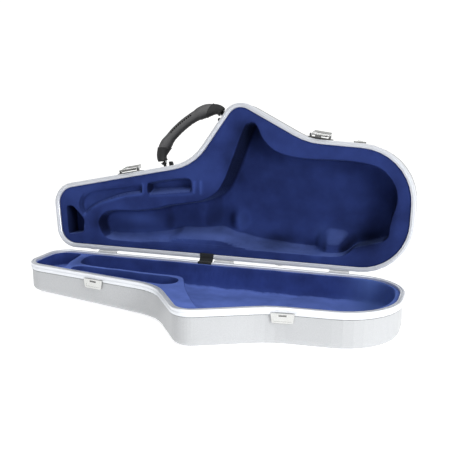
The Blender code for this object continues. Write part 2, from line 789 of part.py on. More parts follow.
def make_latch(name, body, share):
    """Over-centre draw latch: base with ears, lever, claw, two rivets and the claw's pin."""
    place, along, outward = front_seat(share, latch_width / 2, rim_width)
    place -= outward * rim_width
    frame = empty(name + "_place", body, to_case(place, 0), (0, 0, seat_heading(along)))
    half = latch_width / 2
    top = rim_width + fit_gap + latch_plate_thickness
    axis = (top + lever_axis_height, lever_axis_depth)

    profile = plate_profile(latch_plate_start, latch_plate_end, latch_plate_thickness, 1)
    base = add_mesh(name + "_base", extrusion(profile, -half, half), frame, chrome)
    root = top - latch_plate_thickness / 2
    crown = axis[0] + latch_ear_reach - latch_ear_thickness
    ear = [(root, latch_ear_start), (crown, latch_ear_start + latch_ear_thickness),
           (axis[0] + latch_ear_reach / 2, axis[1] - latch_ear_thickness),
           (axis[0] + latch_ear_reach / 2, axis[1] + latch_ear_thickness),
           (crown, latch_ear_end - latch_ear_thickness), (root, latch_ear_end)]
    half -= latch_ear_inset
    for side in (-1, 1):
        span = sorted((side * half, side * (half - latch_ear_thickness)))
        boolean(base, add_mesh(f"{name}_ear_{side}", extrusion(ear, *span), frame), "UNION")
    bore = rod(rivet_radius + pivot_clearance, -latch_width, latch_width, centre=(-axis[0], axis[1]))
    boolean(base, add_mesh(name + "_base_bore", bore, frame), "DIFFERENCE")

    pivot = empty(name + "_lever_axis", frame, (0, -axis[0], axis[1]), (lever_rest_angle, 0, 0))
    make_lever(name, pivot, half - latch_ear_thickness - lever_side_gap)
    claw_pivot = empty(name + "_claw_axis", pivot, (0, claw_axis_drop, claw_axis_reach),
                       (-lever_rest_angle, 0, 0))
    make_claw(name, claw_pivot)

    inner = half - latch_ear_thickness - lever_side_gap - lever_side_thickness
    for side, word in ((-1, "left"), (1, "right")):
        tip = side * (half + fit_gap + rivet_head_height)
        under = side * (half + fit_gap)
        profile = [(tip, 0), (tip, rivet_head_radius), (under, rivet_head_radius), (under, rivet_radius),
                   (side * inner, rivet_radius), (side * inner, 0)]
        if side < 0:
            profile.reverse()
        spot = empty(f"{name}_{word}_rivet_place", frame, (0, -axis[0], axis[1]))
        turned(profile, f"{name}_{word}_rivet", spot, steel)
    reach = half - latch_ear_thickness - lever_side_gap / 2
    turned([(reach, 0), (reach, claw_pin_radius), (-reach, claw_pin_radius), (-reach, 0)],
           name + "_claw_pin", claw_pivot, steel)


def make_lever(name, pivot, half):
    """Lever: two cheeks on the rivets and a finger plate with a lip."""
    back = lever_side_half_height
    start = -lever_side_half_height
    cheek = [(-back, start + back / 2), (-back, lever_plate_end), (back, lever_plate_end),
             (back, start + back / 2), (back / 2, start), (-back / 2, start)]
    lever = None
    for side in (-1, 1):
        span = sorted((side * half, side * (half - lever_side_thickness)))
        shape = extrusion(cheek, *span)
        if lever is None:
            lever = add_mesh(name + "_lever", shape, pivot, chrome)
        else:
            boolean(lever, add_mesh(name + "_lever_cheek", shape, pivot), "UNION")
    inside = half - lever_side_thickness / 2
    top = back - lever_plate_thickness
    plate = [(top, lever_plate_start), (back, lever_plate_start), (back, lever_plate_end),
             (back + lever_lip_height, lever_plate_end + lever_lip_length),
             (back + lever_lip_height - lever_plate_thickness, lever_plate_end + lever_lip_length),
             (top, lever_plate_end + fit_gap)]
    boolean(lever, add_mesh(name + "_lever_plate", extrusion(plate, -inside, inside), pivot), "UNION")
    rivet_bore = rod(rivet_radius + pivot_clearance, -latch_width, latch_width)
    boolean(lever, add_mesh(name + "_lever_bore", rivet_bore, pivot), "DIFFERENCE")
    pin_bore = rod(claw_pin_radius + pivot_clearance, -latch_width, latch_width,
                   centre=(claw_axis_drop, claw_axis_reach))
    boolean(lever, add_mesh(name + "_lever_pin_bore", pin_bore, pivot), "DIFFERENCE")


def make_claw(name, pivot):
    """Claw: a barrel on its pin, a flat draw plate and a narrower tongue turned in at its end."""
    half = claw_thickness / 2
    start = claw_barrel_radius - claw_thickness
    plate = [(half, start), (-half, start), (-half, -claw_reach - half), (half, -claw_reach - half)]
    claw = add_mesh(name + "_claw", extrusion(plate, -claw_width / 2, claw_width / 2), pivot, chrome)
    barrel = rod(claw_barrel_radius, -claw_width / 2, claw_width / 2, knuckle_sides)
    boolean(claw, add_mesh(name + "_claw_barrel", barrel, pivot), "UNION")
    tongue = [(0, -claw_reach + half), (-claw_tongue_drop, -claw_reach + half),
              (-claw_tongue_drop, -claw_reach - half), (0, -claw_reach - half)]
    tip = extrusion(tongue, -claw_tongue_width / 2, claw_tongue_width / 2)
    boolean(claw, add_mesh(name + "_claw_tongue", tip, pivot), "UNION")
    bore = rod(claw_pin_radius + pivot_clearance, -claw_width, claw_width)
    boolean(claw, add_mesh(name + "_claw_bore", bore, pivot), "DIFFERENCE")


def make_handle(body):
    """Bowed handle: two brackets with eyes, two wire loops, two leather sleeves and the grip."""
    reach = bracket_thickness + handle_standoff
    seats = {}
    for word, share in (("low", handle_low_share), ("high", handle_high_share)):
        place, along, outward = front_seat(share, bracket_length / 2, shell_outer)
        seats[word] = (place + outward * reach, along)
    chord = seats["high"][0] - seats["low"][0]
    middle = (seats["high"][0] + seats["low"][0]) / 2
    pivot = empty("handle_axis", body, to_case(middle, handle_depth), (0, 0, seat_heading(chord)))
    half = chord.length / 2

    for word, side in (("low", -1), ("high", 1)):
        spot, along = seats[word]
        frame = empty(f"handle_{word}_bracket_place", body, to_case(spot, handle_depth),
                      (0, 0, seat_heading(along)))
        level = reach - fit_gap
        plate = rounded_slab(bracket_length / 2, bracket_width / 2, bracket_corner,
                             level - bracket_thickness, level)
        bracket = add_mesh(f"handle_{word}_bracket", plate, frame, plastic)
        boolean(bracket, add_mesh(f"handle_{word}_lug", lug_block(-side, level), frame), "UNION")
        post = rod(bracket_post_radius, 0, level - bracket_thickness / 2, knuckle_sides)
        bmesh.ops.rotate(post, verts=post.verts, matrix=Matrix.Rotation(math.pi / 2, 3, "Z"))
        boolean(bracket, add_mesh(f"handle_{word}_post", post, frame), "UNION")
        eye_place = empty(f"handle_{word}_eye_place", pivot, (side * half, 0, 0))
        eye = rod(eye_radius, -eye_length / 2, eye_length / 2, knuckle_sides)
        boolean(bracket, add_mesh(f"handle_{word}_eye", eye, eye_place), "UNION")
        bore = rod(loop_wire_radius + eye_clearance, -eye_length, eye_length, knuckle_sides)
        boolean(bracket, add_mesh(f"handle_{word}_eye_bore", bore, eye_place), "DIFFERENCE")
        wire(f"handle_{word}_loop", loop_path(side * half), loop_wire_radius, pivot, steel)

    path = []
    for share, point in handle_run(sleeve_angle, math.pi - sleeve_angle, half, grip_points, 0.0):
        swell = abs(2 * share - 1) ** 2
        path.append((point, grip_middle_radius + (grip_end_radius - grip_middle_radius) * swell))
    wire("handle_grip", [row[0] for row in path], grip_middle_radius, pivot, leather,
         radii=[row[1] for row in path], resolution=4)
    for word, side in (("low", 1), ("high", -1)):
        path = []
        for share, point in handle_run(0.0, sleeve_angle, half, sleeve_points, fit_gap):
            point.x *= side
            path.append((point, sleeve_tip_radius + (sleeve_root_radius - sleeve_tip_radius) * share))
        wire(f"handle_{word}_sleeve", [row[0] for row in path], sleeve_root_radius, pivot, leather,
             radii=[row[1] for row in path], resolution=4)


def rounded_slab(reach, half_width, corner, low, high):
    """Slab from low to high along y, whose outline in x and z has rounded corners."""
    bm = bmesh.new()
    rows = []
    for level in (low, high):
        ring = []
        for quarter, (x, z) in enumerate(((1, 1), (-1, 1), (-1, -1), (1, -1))):
            middle = (x * (reach - corner), z * (half_width - corner))
            for point in arc_points(middle, corner, quarter * math.pi / 2, (quarter + 1) * math.pi / 2, 3):
                ring.append(bm.verts.new((point.x, level, point.y)))
        rows.append(ring)
    bm.faces.new(rows[0])
    bm.faces.new(list(reversed(rows[1])))
    for index, vert in enumerate(rows[0]):
        after = (index + 1) % len(rows[0])
        bm.faces.new((vert, rows[1][index], rows[1][after], rows[0][after]))
    bmesh.ops.recalc_face_normals(bm, faces=bm.faces)
    return bm


def lug_block(side, level):
    """Stop beside the sleeve's foot: a block on the plate with a rounded outer top edge."""
    near, far = side * lug_start, side * lug_end
    top = level - bracket_thickness - lug_height
    low = level - bracket_thickness / 2
    shoulder = (far - side * lug_round, top + lug_round)
    outline = [(near, low), (near, top), (far - side * lug_round, top)]
    for step in (1, 2, 3):
        turn = step * math.pi / 6
        outline.append((shoulder[0] + side * lug_round * math.sin(turn),
                        shoulder[1] - lug_round * math.cos(turn)))
    outline.append((far, low))
    bm = bmesh.new()
    sides = (-lug_width / 2, lug_width / 2)
    rows = [[bm.verts.new((x, y, side_level)) for x, y in outline] for side_level in sides]
    bm.faces.new(rows[0])
    bm.faces.new(list(reversed(rows[1])))
    for index, vert in enumerate(rows[0]):
        after = (index + 1) % len(outline)
        bm.faces.new((vert, rows[1][index], rows[1][after], rows[0][after]))
    bmesh.ops.recalc_face_normals(bm, faces=bm.faces)
    return bm


def handle_run(start, end, half, count, gap):
    """Points along the handle's bow, with ends cut square to it and held back by a gap."""
    run = [(0.0, handle_point(start, half, gap)), (0.0, handle_point(start, half, gap + smallest_radius))]
    for index in range(1, count - 1):
        share = index / (count - 1)
        run.append((share, handle_point(start + (end - start) * share, half)))
    run.append((1.0, handle_point(end, half, -gap - smallest_radius)))
    run.append((1.0, handle_point(end, half, -gap)))
    return run


def handle_point(angle, half, shift=0.0):
    """Point of the handle's bowed centre line, shifted along it by a little."""
    rise = handle_bow - handle_leg
    point = Vector((-half * math.cos(angle), -handle_leg - rise * math.sin(angle), 0))
    tangent = Vector((half * math.sin(angle), -rise * math.cos(angle), 0)).normalized()
    return point + tangent * shift


def loop_path(centre):
    """U of wire: a pin through the eye and two legs up to the sleeve."""
    reach = eye_length / 2 + eye_clearance + loop_wire_radius
    bend = loop_bend_radius
    path = [Vector((centre - reach, -handle_leg + fit_gap, 0))]
    for point in arc_points((centre - reach + bend, -bend), bend, math.pi, math.pi / 2, 3):
        path.append(Vector((point.x, point.y, 0)))
    for point in arc_points((centre + reach - bend, -bend), bend, math.pi / 2, 0, 3):
        path.append(Vector((point.x, point.y, 0)))
    path.append(Vector((centre + reach, -handle_leg + fit_gap, 0)))
    return path


def make_strap_ring(body):
    """Shoulder strap ring folded flat in its clip on the front wall."""
    place, along, outward = front_seat(ring_share, ring_clip_length / 2, shell_outer)
    place -= outward * shell_outer
    heading = (0, 0, seat_heading(along))
    face = shell_outer + fit_gap
    frame = empty("strap_ring_clip_place", body, to_case(place, ring_depth), heading)
    low = -ring_clip_width / 2
    clip = add_mesh("strap_ring_clip", box((-ring_clip_length / 2, -face - ring_clip_thickness, low),
                                           (ring_clip_length / 2, -face, -low)), frame, chrome)
    barrel_height = face + ring_barrel_radius
    pivot = empty("strap_ring_axis", frame, (0, -barrel_height, 0))
    barrel = rod(ring_barrel_radius, -ring_barrel_length / 2, ring_barrel_length / 2, knuckle_sides)
    boolean(clip, add_mesh("strap_ring_barrel", barrel, pivot), "UNION")
    bore = rod(ring_wire_radius + 2 * pivot_clearance, -ring_barrel_length, ring_barrel_length, knuckle_sides)
    boolean(clip, add_mesh("strap_ring_bore", bore, pivot), "DIFFERENCE")
    points = [Vector((-ring_half_width, 0, 0)), Vector((0, 0, 0)), Vector((ring_half_width, 0, 0))]
    for index in range(1, ring_points):
        angle = math.pi * index / ring_points
        points.append(Vector((ring_half_width * math.cos(angle), 0, ring_reach * math.sin(angle))))
    wire("strap_ring", points, ring_wire_radius, pivot, chrome, cyclic=True)


def stand_on_floor(root):
    """Move the whole case so that its box stands centred on the origin."""
    bpy.context.view_layer.update()
    graph = bpy.context.evaluated_depsgraph_get()
    low = Vector((math.inf, math.inf, math.inf))
    high = -low
    for part in parts.objects:
        if part.type == "EMPTY":
            continue
        mesh = part.evaluated_get(graph).to_mesh()
        for vert in mesh.vertices:
            spot = part.matrix_world @ vert.co
            low = Vector(map(min, low, spot))
            high = Vector(map(max, high, spot))
    root.location = (-(low.x + high.x) / 2, -(low.y + high.y) / 2, -low.z)


for old in list(bpy.data.objects):
    bpy.data.objects.remove(old, do_unlink=True)
parts = bpy.data.collections.new("alto_saxophone_case")
cutters = bpy.data.collections.new("cutters")
bpy.context.scene.collection.children.link(parts)
bpy.context.scene.collection.children.link(cutters)

rim_metal = material("rim_aluminium", (0.83, 0.85, 0.88), 0.32, 1.0)
shell_plastic = material("silver_shell", (0.62, 0.64, 0.66), 0.45, 0.35)
plush = material("blue_plush", (0.035, 0.055, 0.22), 0.95)
chrome = material("nickel_plate", (0.62, 0.63, 0.64), 0.22, 1.0)
steel = material("bright_steel", (0.55, 0.56, 0.58), 0.3, 1.0)
leather = material("black_leather", (0.035, 0.035, 0.036), 0.5)
webbing = material("black_webbing", (0.015, 0.018, 0.02), 0.85)
rubber = material("black_rubber", (0.02, 0.02, 0.02), 0.8)
plastic = material("black_plastic", (0.025, 0.025, 0.027), 0.42)

case_root = empty("case_root", None)
lid_half = empty("lid_half", case_root)
body_half = empty("body_half", case_root, rotation=(-opening_angle, 0, 0))

make_rim("lid_rim", lid_half, -1)
make_rim("body_rim", body_half, 1)
make_shell("lid_shell", lid_half, -1, lid_depth, lid_edge_radius, neck_lid_share)
make_shell("body_shell", body_half, 1, body_depth, body_edge_radius, neck_body_share)
make_lid_lining(lid_half)
make_body_lining(body_half)
make_hinges(lid_half, body_half)
make_stay(lid_half)
make_feet(lid_half, "lid", -1, lid_depth)
make_feet(body_half, "body", 1, body_depth)
for side_name, latch_share in latch_shares.items():
    make_keeper(f"keeper_{side_name}", lid_half, latch_share)
    make_latch(f"latch_{side_name}", body_half, latch_share)
make_handle(body_half)
make_strap_ring(body_half)
stand_on_floor(case_root)
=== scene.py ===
"""Looks of the alto saxophone case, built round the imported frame.

Both halves are described lying closed about the hinge line, as in part.py: u runs along the
hinge from the neck end, v across the case from the rim's inner edge on the hinge side, and
depth away from the parting plane. Lengths are in metres.
"""
import json
import math

import bmesh
import bpy
import numpy as np
from mathutils import Matrix, Vector, geometry, kdtree


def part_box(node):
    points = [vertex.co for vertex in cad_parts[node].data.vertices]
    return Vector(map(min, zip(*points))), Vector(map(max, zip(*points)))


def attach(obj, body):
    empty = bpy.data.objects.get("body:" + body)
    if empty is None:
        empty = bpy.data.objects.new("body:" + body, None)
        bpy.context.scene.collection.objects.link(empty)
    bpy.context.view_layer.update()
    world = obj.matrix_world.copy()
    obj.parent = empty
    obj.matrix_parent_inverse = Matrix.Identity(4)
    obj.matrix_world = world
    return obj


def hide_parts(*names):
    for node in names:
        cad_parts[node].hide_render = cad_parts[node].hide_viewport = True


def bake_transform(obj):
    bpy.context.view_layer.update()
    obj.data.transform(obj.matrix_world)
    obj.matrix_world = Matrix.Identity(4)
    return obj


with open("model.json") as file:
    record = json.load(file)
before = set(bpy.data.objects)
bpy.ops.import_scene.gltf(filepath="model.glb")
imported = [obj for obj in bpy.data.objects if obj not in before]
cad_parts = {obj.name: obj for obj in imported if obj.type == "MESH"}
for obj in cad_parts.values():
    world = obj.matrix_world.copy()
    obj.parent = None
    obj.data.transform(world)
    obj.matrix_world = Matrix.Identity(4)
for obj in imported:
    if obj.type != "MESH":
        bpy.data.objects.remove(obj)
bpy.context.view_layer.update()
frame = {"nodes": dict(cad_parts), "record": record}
nodes = frame["nodes"]
joints = {joint["name"]: joint for joint in frame["record"]["behaviour"]["joints"]}

# Sizes shared with the frame
LENGTH = 0.645
WIDTH = 0.265
LID_DEPTH = 0.062
BODY_DEPTH = 0.088
PANEL_BEND = 0.52 * LENGTH
OPENING = math.radians(joints["case_hinge"]["range_deg"][1])
HINGE_INSET = 0.0108
LEDGE = 0.0035
RIM_ZONE = 0.013

hinge_point = Vector(joints["case_hinge"]["pos_m"])
corner_point = hinge_point - Vector((LENGTH / 2, 0, 0))
LID = Matrix.Translation(corner_point)
BODY = LID @ Matrix.Rotation(-OPENING, 4, "X")

# Corners of the opening in thousandths of its length and width, and their radii
OUTLINE = [(15, 0), (997.5, 0), (1000, 763), (710, 789), (510, 1029), (397, 590), (-7, 368)]
OUTLINE_RADII = [share * WIDTH for share in (0.113, 0.309, 0.347, 0.453, 0.098, 0.340, 0.113)]


def placed(x, y, z, origin):
    """Matrix of a frame of its own, from its three axes and its origin."""
    return Matrix.Translation(origin) @ Matrix((x, y, z)).transposed().to_4x4()


# Camera: turn, tilt and roll in radians, place from the lid's corner, focal length in picture widths

CAMERA_TURN, CAMERA_TILT, CAMERA_ROLL = 0.26798, 0.23172, 0.015276
CAMERA_PLACE = Vector((0.79461, -1.71842, 0.48841))
CAMERA_FOCAL = 2.29965
SENSOR_WIDTH = 36


def make_camera():
    """Camera fitted to the photograph."""
    turn, tilt = CAMERA_TURN, CAMERA_TILT
    back = Vector((math.sin(turn) * math.cos(tilt), -math.cos(turn) * math.cos(tilt), math.sin(tilt)))
    right = Vector((math.cos(turn), math.sin(turn), 0))
    up = back.cross(right)
    rolled = Matrix.Rotation(CAMERA_ROLL, 2)
    right, up = (right * rolled[0][0] + up * rolled[1][0]), (right * rolled[0][1] + up * rolled[1][1])
    data = bpy.data.cameras.new("camera")
    data.sensor_width = SENSOR_WIDTH
    data.lens = CAMERA_FOCAL * SENSOR_WIDTH
    data.clip_start = 0.05
    camera = bpy.data.objects.new("camera", data)
    bpy.context.scene.collection.objects.link(camera)
    camera.matrix_world = placed(right, up, back, corner_point + CAMERA_PLACE)
    bpy.context.scene.camera = camera


make_camera()


# Shader helpers

class Nodes:
    """Builds nodes in one tree."""

    def __init__(self, tree):
        self.tree = tree

    def feed(self, node, inputs):
        """Link or set a node's inputs, given by index or by name with _ for a space."""
        for key, value in inputs.items():
            socket = node.inputs[key.replace("_", " ") if isinstance(key, str) else key]
            if hasattr(value, "links"):
                self.tree.links.new(value, socket)
            else:
                socket.default_value = value

    def node(self, kind, settings=(), **inputs):
        """New node with its settings, as pairs of name and value, and its inputs."""
        made = self.tree.nodes.new("ShaderNode" + kind)
        for name, value in settings:
            setattr(made, name, value)
        self.feed(made, inputs)
        return made

    def mix(self, factor, first, second):
        """Blend of two colours, each from a socket or as a tuple of three numbers."""
        made = self.node("Mix", [("data_type", "RGBA")])
        first, second = ((*value, 1) if isinstance(value, tuple) else value for value in (first, second))
        self.feed(made, {0: factor, 6: first, 7: second})
        return made.outputs[2]


class Shader(Nodes):
    """Builds one material. Its textures lie in the object's own coordinates."""

    def __init__(self, name, **values):
        self.material = bpy.data.materials.new(name)
        self.material.use_nodes = True
        super().__init__(self.material.node_tree)
        self.bsdf = self.tree.nodes["Principled BSDF"]
        self.feed(self.bsdf, values)
        texture = self.node("TexCoord").outputs
        self.coords, self.normal = texture["Object"], texture["Normal"]

    def noise(self, scale, detail, rough, stretch=None):
        place = self.node("Mapping", Vector=self.coords, Scale=stretch).outputs[0] if stretch else self.coords
        return self.node("TexNoise", Vector=place, Scale=scale, Detail=detail, Roughness=rough).outputs["Fac"]

    def stored(self, name):
        """Number that the mesh stores under name at its points."""
        return self.node("Attribute", [("attribute_name", name)]).outputs["Fac"]

    def remap(self, value, low, high, to_low, to_high):
        made = self.node("MapRange")
        self.feed(made, dict(enumerate((value, low, high, to_low, to_high))))
        return made.outputs[0]

    def math(self, operation, first, second=0.0):
        made = self.node("Math", [("operation", operation)])
        self.feed(made, {0: first, 1: second})
        return made.outputs[0]

    def bump(self, height, strength, distance, normal=None):
        made = self.node("Bump", Height=height, Strength=strength, Distance=distance)
        if normal:
            self.feed(made, {"Normal": normal})
        return made.outputs[0]

    def set(self, socket, source):
        self.feed(self.bsdf, {socket: source})


def linear(red, green, blue):
    """Linear colour from 8-bit sRGB numbers."""
    return tuple(((c / 255 + 0.055) / 1.055) ** 2.4 if c > 10 else c / 255 / 12.92
                 for c in (red, green, blue))


def toned(colours, tone):
    """Linear colours from 8-bit sRGB ones that are first multiplied by tone."""
    return [linear(*(c * tone for c in colour)) for colour in colours]


# Blue of the pile in 8-bit sRGB: darker and lighter patches of its own, painted light where it faces up,
# painted shade on steep walls, and painted shade where the mesh stores it
PILE_STANDING = ((33, 44, 89), (42, 56, 110))
PILE_PAINTED_TOP_LIGHT = ((57, 71, 119), (69, 85, 140))
PILE_PAINTED_WALL_SHADE = (12, 17, 42)
PILE_PAINTED_SHADE = (9, 14, 34)


def plush_material(name, tone, painted_top_light_tone, wall_shade_share, painted_light_colour):
    """Short blue pile over foam: patchy, with painted light on faces that look up, painted shade on steep
    side walls, and painted shade or painted light where the mesh stores it."""
    shader = Shader(name, Roughness=0.95, Specular_IOR_Level=0.04, Sheen_Weight=0.07, Sheen_Roughness=0.30,
                    Sheen_Tint=(0.30, 0.48, 0.92, 1))
    patches = shader.noise(28, 3, 0.55)
    brushed = shader.noise(9, 2, 0.5, stretch=(0.6, 1.6, 1.6))
    shade = shader.remap(shader.math("ADD", patches, brushed), 0.75, 1.25, 0, 1)
    base = shader.mix(shade, *toned(PILE_STANDING, tone))
    facing = shader.node("SeparateXYZ", Vector=shader.normal).outputs
    # Painted light: the pile is made lighter on faces that look up, where the light from above falls.
    painted_top_light = shader.remap(facing["Z"], 0.74, 0.99, 0, 1)
    base = shader.mix(painted_top_light, base, shader.mix(shade, *toned(PILE_PAINTED_TOP_LIGHT, painted_top_light_tone)))
    # Painted shade: the pile is made darker on steep side walls.
    painted_wall_shade = shader.remap(shader.math("ABSOLUTE", facing["X"]), 0.30, 0.90, 0, wall_shade_share)
    base = shader.mix(painted_wall_shade, base, linear(*PILE_PAINTED_WALL_SHADE))
    # Painted light and shade that the mesh stores at its points.
    painted_shading = shader.stored("painted_shading")
    base = shader.mix(shader.remap(painted_shading, 0.5, 0.0, 0, 0.9), base, linear(*PILE_PAINTED_SHADE))
    base = shader.mix(shader.remap(painted_shading, 0.5, 1.0, 0, 0.8), base, painted_light_colour)
    shader.set("Base Color", base)
    fibres = shader.bump(shader.noise(2600, 2, 0.7), 0.30, 0.0006)
    shader.set("Normal", shader.bump(shader.noise(260, 3, 0.6), 0.25, 0.0012, fibres))
    return shader.material


def shell_material():
    """Silver paint on a moulded shell: fine flecks, a slow change of tone and a light orange-peel grain."""
    shader = Shader("shell_silver", Roughness=0.42, Metallic=0.10, Coat_Weight=0.06)
    flecks = shader.noise(900, 2, 0.6)
    tone = shader.noise(5, 2, 0.5)
    base = shader.mix(shader.remap(flecks, 0.35, 0.65, 0, 1), linear(180, 182, 185), linear(196, 198, 200))
    base = shader.mix(shader.remap(tone, 0.3, 0.7, 0, 0.5), base, linear(176, 178, 180))
    shader.set("Base Color", base)
    shader.set("Roughness", shader.remap(flecks, 0.3, 0.7, 0.38, 0.54))
    shader.set("Normal", shader.bump(shader.noise(1500, 2, 0.6), 0.12, 0.0004))
    return shader.material


def metal_material(name, colour, roughness, streak=(1.0, 1.0, 1.0), depth=0.05, worn=0.86, metallic=1.0):
    """Drawn or plated metal: fine streaks, and patches that are worn to a darker tone."""
    shader = Shader(name, Metallic=metallic, Roughness=roughness)
    drawn = shader.noise(600, 3, 0.6, stretch=streak)
    wear = shader.noise(40, 4, 0.6)
    base = shader.mix(shader.remap(wear, 0.3, 0.75, 0, 1), colour, tuple(c * worn for c in colour))
    shader.set("Base Color", base)
    shader.set("Roughness", shader.remap(drawn, 0.25, 0.75, roughness * 0.8, roughness * 1.25))
    shader.set("Normal", shader.bump(drawn, depth, 0.0003))
    return shader.material


def leather_material(name, dark, light, painted_highlight):
    """Pebbled leather with worn lighter places, fine creases and a painted highlight where the mesh stores
    one.
    """
    shader = Shader(name, Roughness=0.5, Specular_IOR_Level=0.4)
    cells = shader.node("TexVoronoi", [("feature", "DISTANCE_TO_EDGE")], Vector=shader.coords, Scale=900.0)
    grain = shader.remap(cells.outputs["Distance"], 0.0, 0.25, 0, 1)
    worn = shader.noise(60, 4, 0.6)
    base = shader.mix(shader.remap(worn, 0.35, 0.7, 0, 1), dark, light)
    base = shader.mix(shader.stored("painted_highlight"), base, painted_highlight)
    base = shader.mix(shader.remap(grain, 0, 1, 0.35, 0), base, tuple(c * 0.5 for c in dark))
    shader.set("Base Color", base)
    shader.set("Roughness", shader.remap(worn, 0.3, 0.7, 0.52, 0.40))
    shader.set("Normal", shader.bump(worn, 0.2, 0.0008, shader.bump(grain, 0.4, 0.0004)))
    return shader.material


def thread_material():
    """Black waxed thread with a fine twist."""
    shader = Shader("thread_black", Roughness=0.95, Specular_IOR_Level=0.05)
    twist = shader.node("TexWave", Vector=shader.coords, Scale=900.0, Distortion=1.0).outputs["Fac"]
    shader.set("Base Color", shader.mix(twist, linear(3, 3, 3), linear(9, 9, 10)))
    shader.set("Normal", shader.bump(twist, 0.4, 0.0002))
    return shader.material


def webbing_material():
    """Black woven webbing: ribs along the strap crossed by the weft."""
    shader = Shader("webbing_black", Roughness=0.8, Sheen_Weight=0.1)
    ribs, weft = (shader.node("TexWave", [("bands_direction", way)], Vector=shader.coords, Scale=scale,
                              Distortion=0.6).outputs["Fac"] for way, scale in (("X", 420.0), ("Y", 300.0)))
    weave = shader.math("MULTIPLY", ribs, weft)
    shader.set("Base Color", shader.mix(weave, linear(8, 11, 15), linear(24, 31, 38)))
    shader.set("Normal", shader.bump(weave, 0.5, 0.0006))
    return shader.material


def rubber_material(name, colour):
    """Matt rubber or moulded plastic with a little dust in its grain."""
    shader = Shader(name, Roughness=0.7)
    dust = shader.noise(120, 4, 0.6)
    dusty = tuple(c * 2.2 for c in colour)
    shader.set("Base Color", shader.mix(shader.remap(dust, 0.4, 0.75, 0, 1), colour, dusty))
    shader.set("Normal", shader.bump(shader.noise(900, 2, 0.5), 0.15, 0.0004))
    return shader.material


plush = plush_material("plush_blue", 1.03, 1.20, 0.85, linear(67, 88, 158))
# The lid's pile is a lighter copy of the body's: painted light on the lid, which faces up to the light.
plush_lid_painted_lit = plush_material("plush_blue_lid_painted_lit", 1.18, 1.42, 0.0, linear(82, 106, 172))
silver = shell_material()
rim_metal = metal_material("rim_aluminium", linear(229, 232, 237), 0.38, streak=(0.15, 2.0, 2.0), depth=0.01,
                           worn=0.97, metallic=0.55)
nickel = metal_material("nickel_plate", linear(204, 205, 203), 0.20, depth=0.02, worn=0.90)
# Dark nickel for the latch bases: painted shade inside the latches.
nickel_painted_shade = metal_material("nickel_in_painted_shade", linear(120, 120, 118), 0.34)
# Lighter metal for the hinge leaves: painted light over the shade between the halves.
leaf_metal_painted_light = metal_material("hinge_leaf_steel_painted_light", linear(222, 223, 224), 0.40, depth=0.02, worn=0.94,
                            metallic=0.5)
steel = metal_material("bright_steel", linear(188, 190, 192), 0.3)
# The third colour of each leather is its painted highlight.
leather = leather_material("leather_black", linear(22, 22, 23), linear(30, 30, 31), linear(102, 102, 103))
leather_dark = leather_material("leather_sleeve", linear(11, 11, 12), linear(18, 18, 19), linear(38, 38, 39))
thread = thread_material()
webbing = webbing_material()
rubber = rubber_material("rubber_black", (0.02, 0.02, 0.021))
moulded = rubber_material("plastic_black", (0.012, 0.012, 0.013))
# Grey for the bead under the flanges: a painted shadow line.
painted_shadow_line = rubber_material("shadow_line_grey", linear(96, 98, 100))

FINISH = {"silver_shell": silver, "black_plastic": moulded, "rim_aluminium": rim_metal,
          "nickel_plate": nickel, "bright_steel": steel, "black_rubber": rubber,
          "blue_plush": plush, "black_leather": leather, "black_webbing": webbing}


def paint(node, material):
    """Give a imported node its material, in its one slot."""
    nodes[node].material_slots[0].material = material


for row in frame["record"]["subparts"]:
    paint(row["node"], FINISH[row["material_slot"]])
# The latch bases take painted shade.
for side in ("left", "right"):
    paint(f"latch_{side}_base", nickel_painted_shade)
# The hinge leaves take painted light.
for half in ("lid", "body"):
    for number in (1, 2, 3):
        paint(f"{half}_hinge_leaf_{number}", leaf_metal_painted_light)


# Geometry helpers: arcs' step, the least radius of an offset corner, and a curve's step

ARC_STEP = math.radians(5)
LEAST_RADIUS = 0.0015
CURVE_STEP = 0.0035


def add_mesh(name, vertices, faces, material, smooth=True):
    """New object with one material."""
    mesh = bpy.data.meshes.new(name)
    mesh.from_pydata([tuple(v) for v in vertices], [], [tuple(f) for f in faces])
    mesh.validate()
    mesh.materials.append(material)
    made = bpy.data.objects.new(name, mesh)
    bpy.context.scene.collection.objects.link(made)
    if smooth:
        mesh.shade_smooth()
    return made


def rounded_outline(corners, radii, offset):
    """Rounded polygon moved outwards by offset, as in part.py but with finer arcs."""
    points = []
    count = len(corners)
    for index, corner in enumerate(corners):
        arrive = corner - corners[index - 1]
        leave = corners[(index + 1) % count] - corner
        start = math.atan2(arrive.y, arrive.x) - math.pi / 2
        turn = math.atan2(arrive.x * leave.y - arrive.y * leave.x, arrive.dot(leave))
        side = math.copysign(1, turn)
        radius = max(radii[index] + side * offset, LEAST_RADIUS)
        middle = start + turn / 2
        bisector = Vector((math.cos(middle), math.sin(middle)))
        centre = corner + bisector * (offset - side * radius) / math.cos(turn / 2)
        steps = max(3, round(abs(turn) / ARC_STEP))
        for step in range(steps + 1):
            angle = start + turn * step / steps
            points.append(centre + Vector((math.cos(angle), math.sin(angle))) * side * radius)
    return points


def in_metres(rows):
    """Points from rows in thousandths of the opening's length and width."""
    return [Vector((a / 1000 * LENGTH, b / 1000 * WIDTH)) for a, b in rows]


def case_outline(offset):
    """Outline of the opening moved outwards by offset."""
    return rounded_outline(in_metres(OUTLINE), OUTLINE_RADII, offset)


def resampled(points, step):
    """Closed loop with points no further apart than step, as an array."""
    out = []
    for index, point in enumerate(points):
        before = points[index - 1]
        length = (point - before).length
        if length < 1e-6:
            continue
        parts = max(1, math.ceil(length / step))
        for part in range(1, parts + 1):
            out.append(before.lerp(point, part / parts))
    return np.array([(p.x, p.y) for p in out])


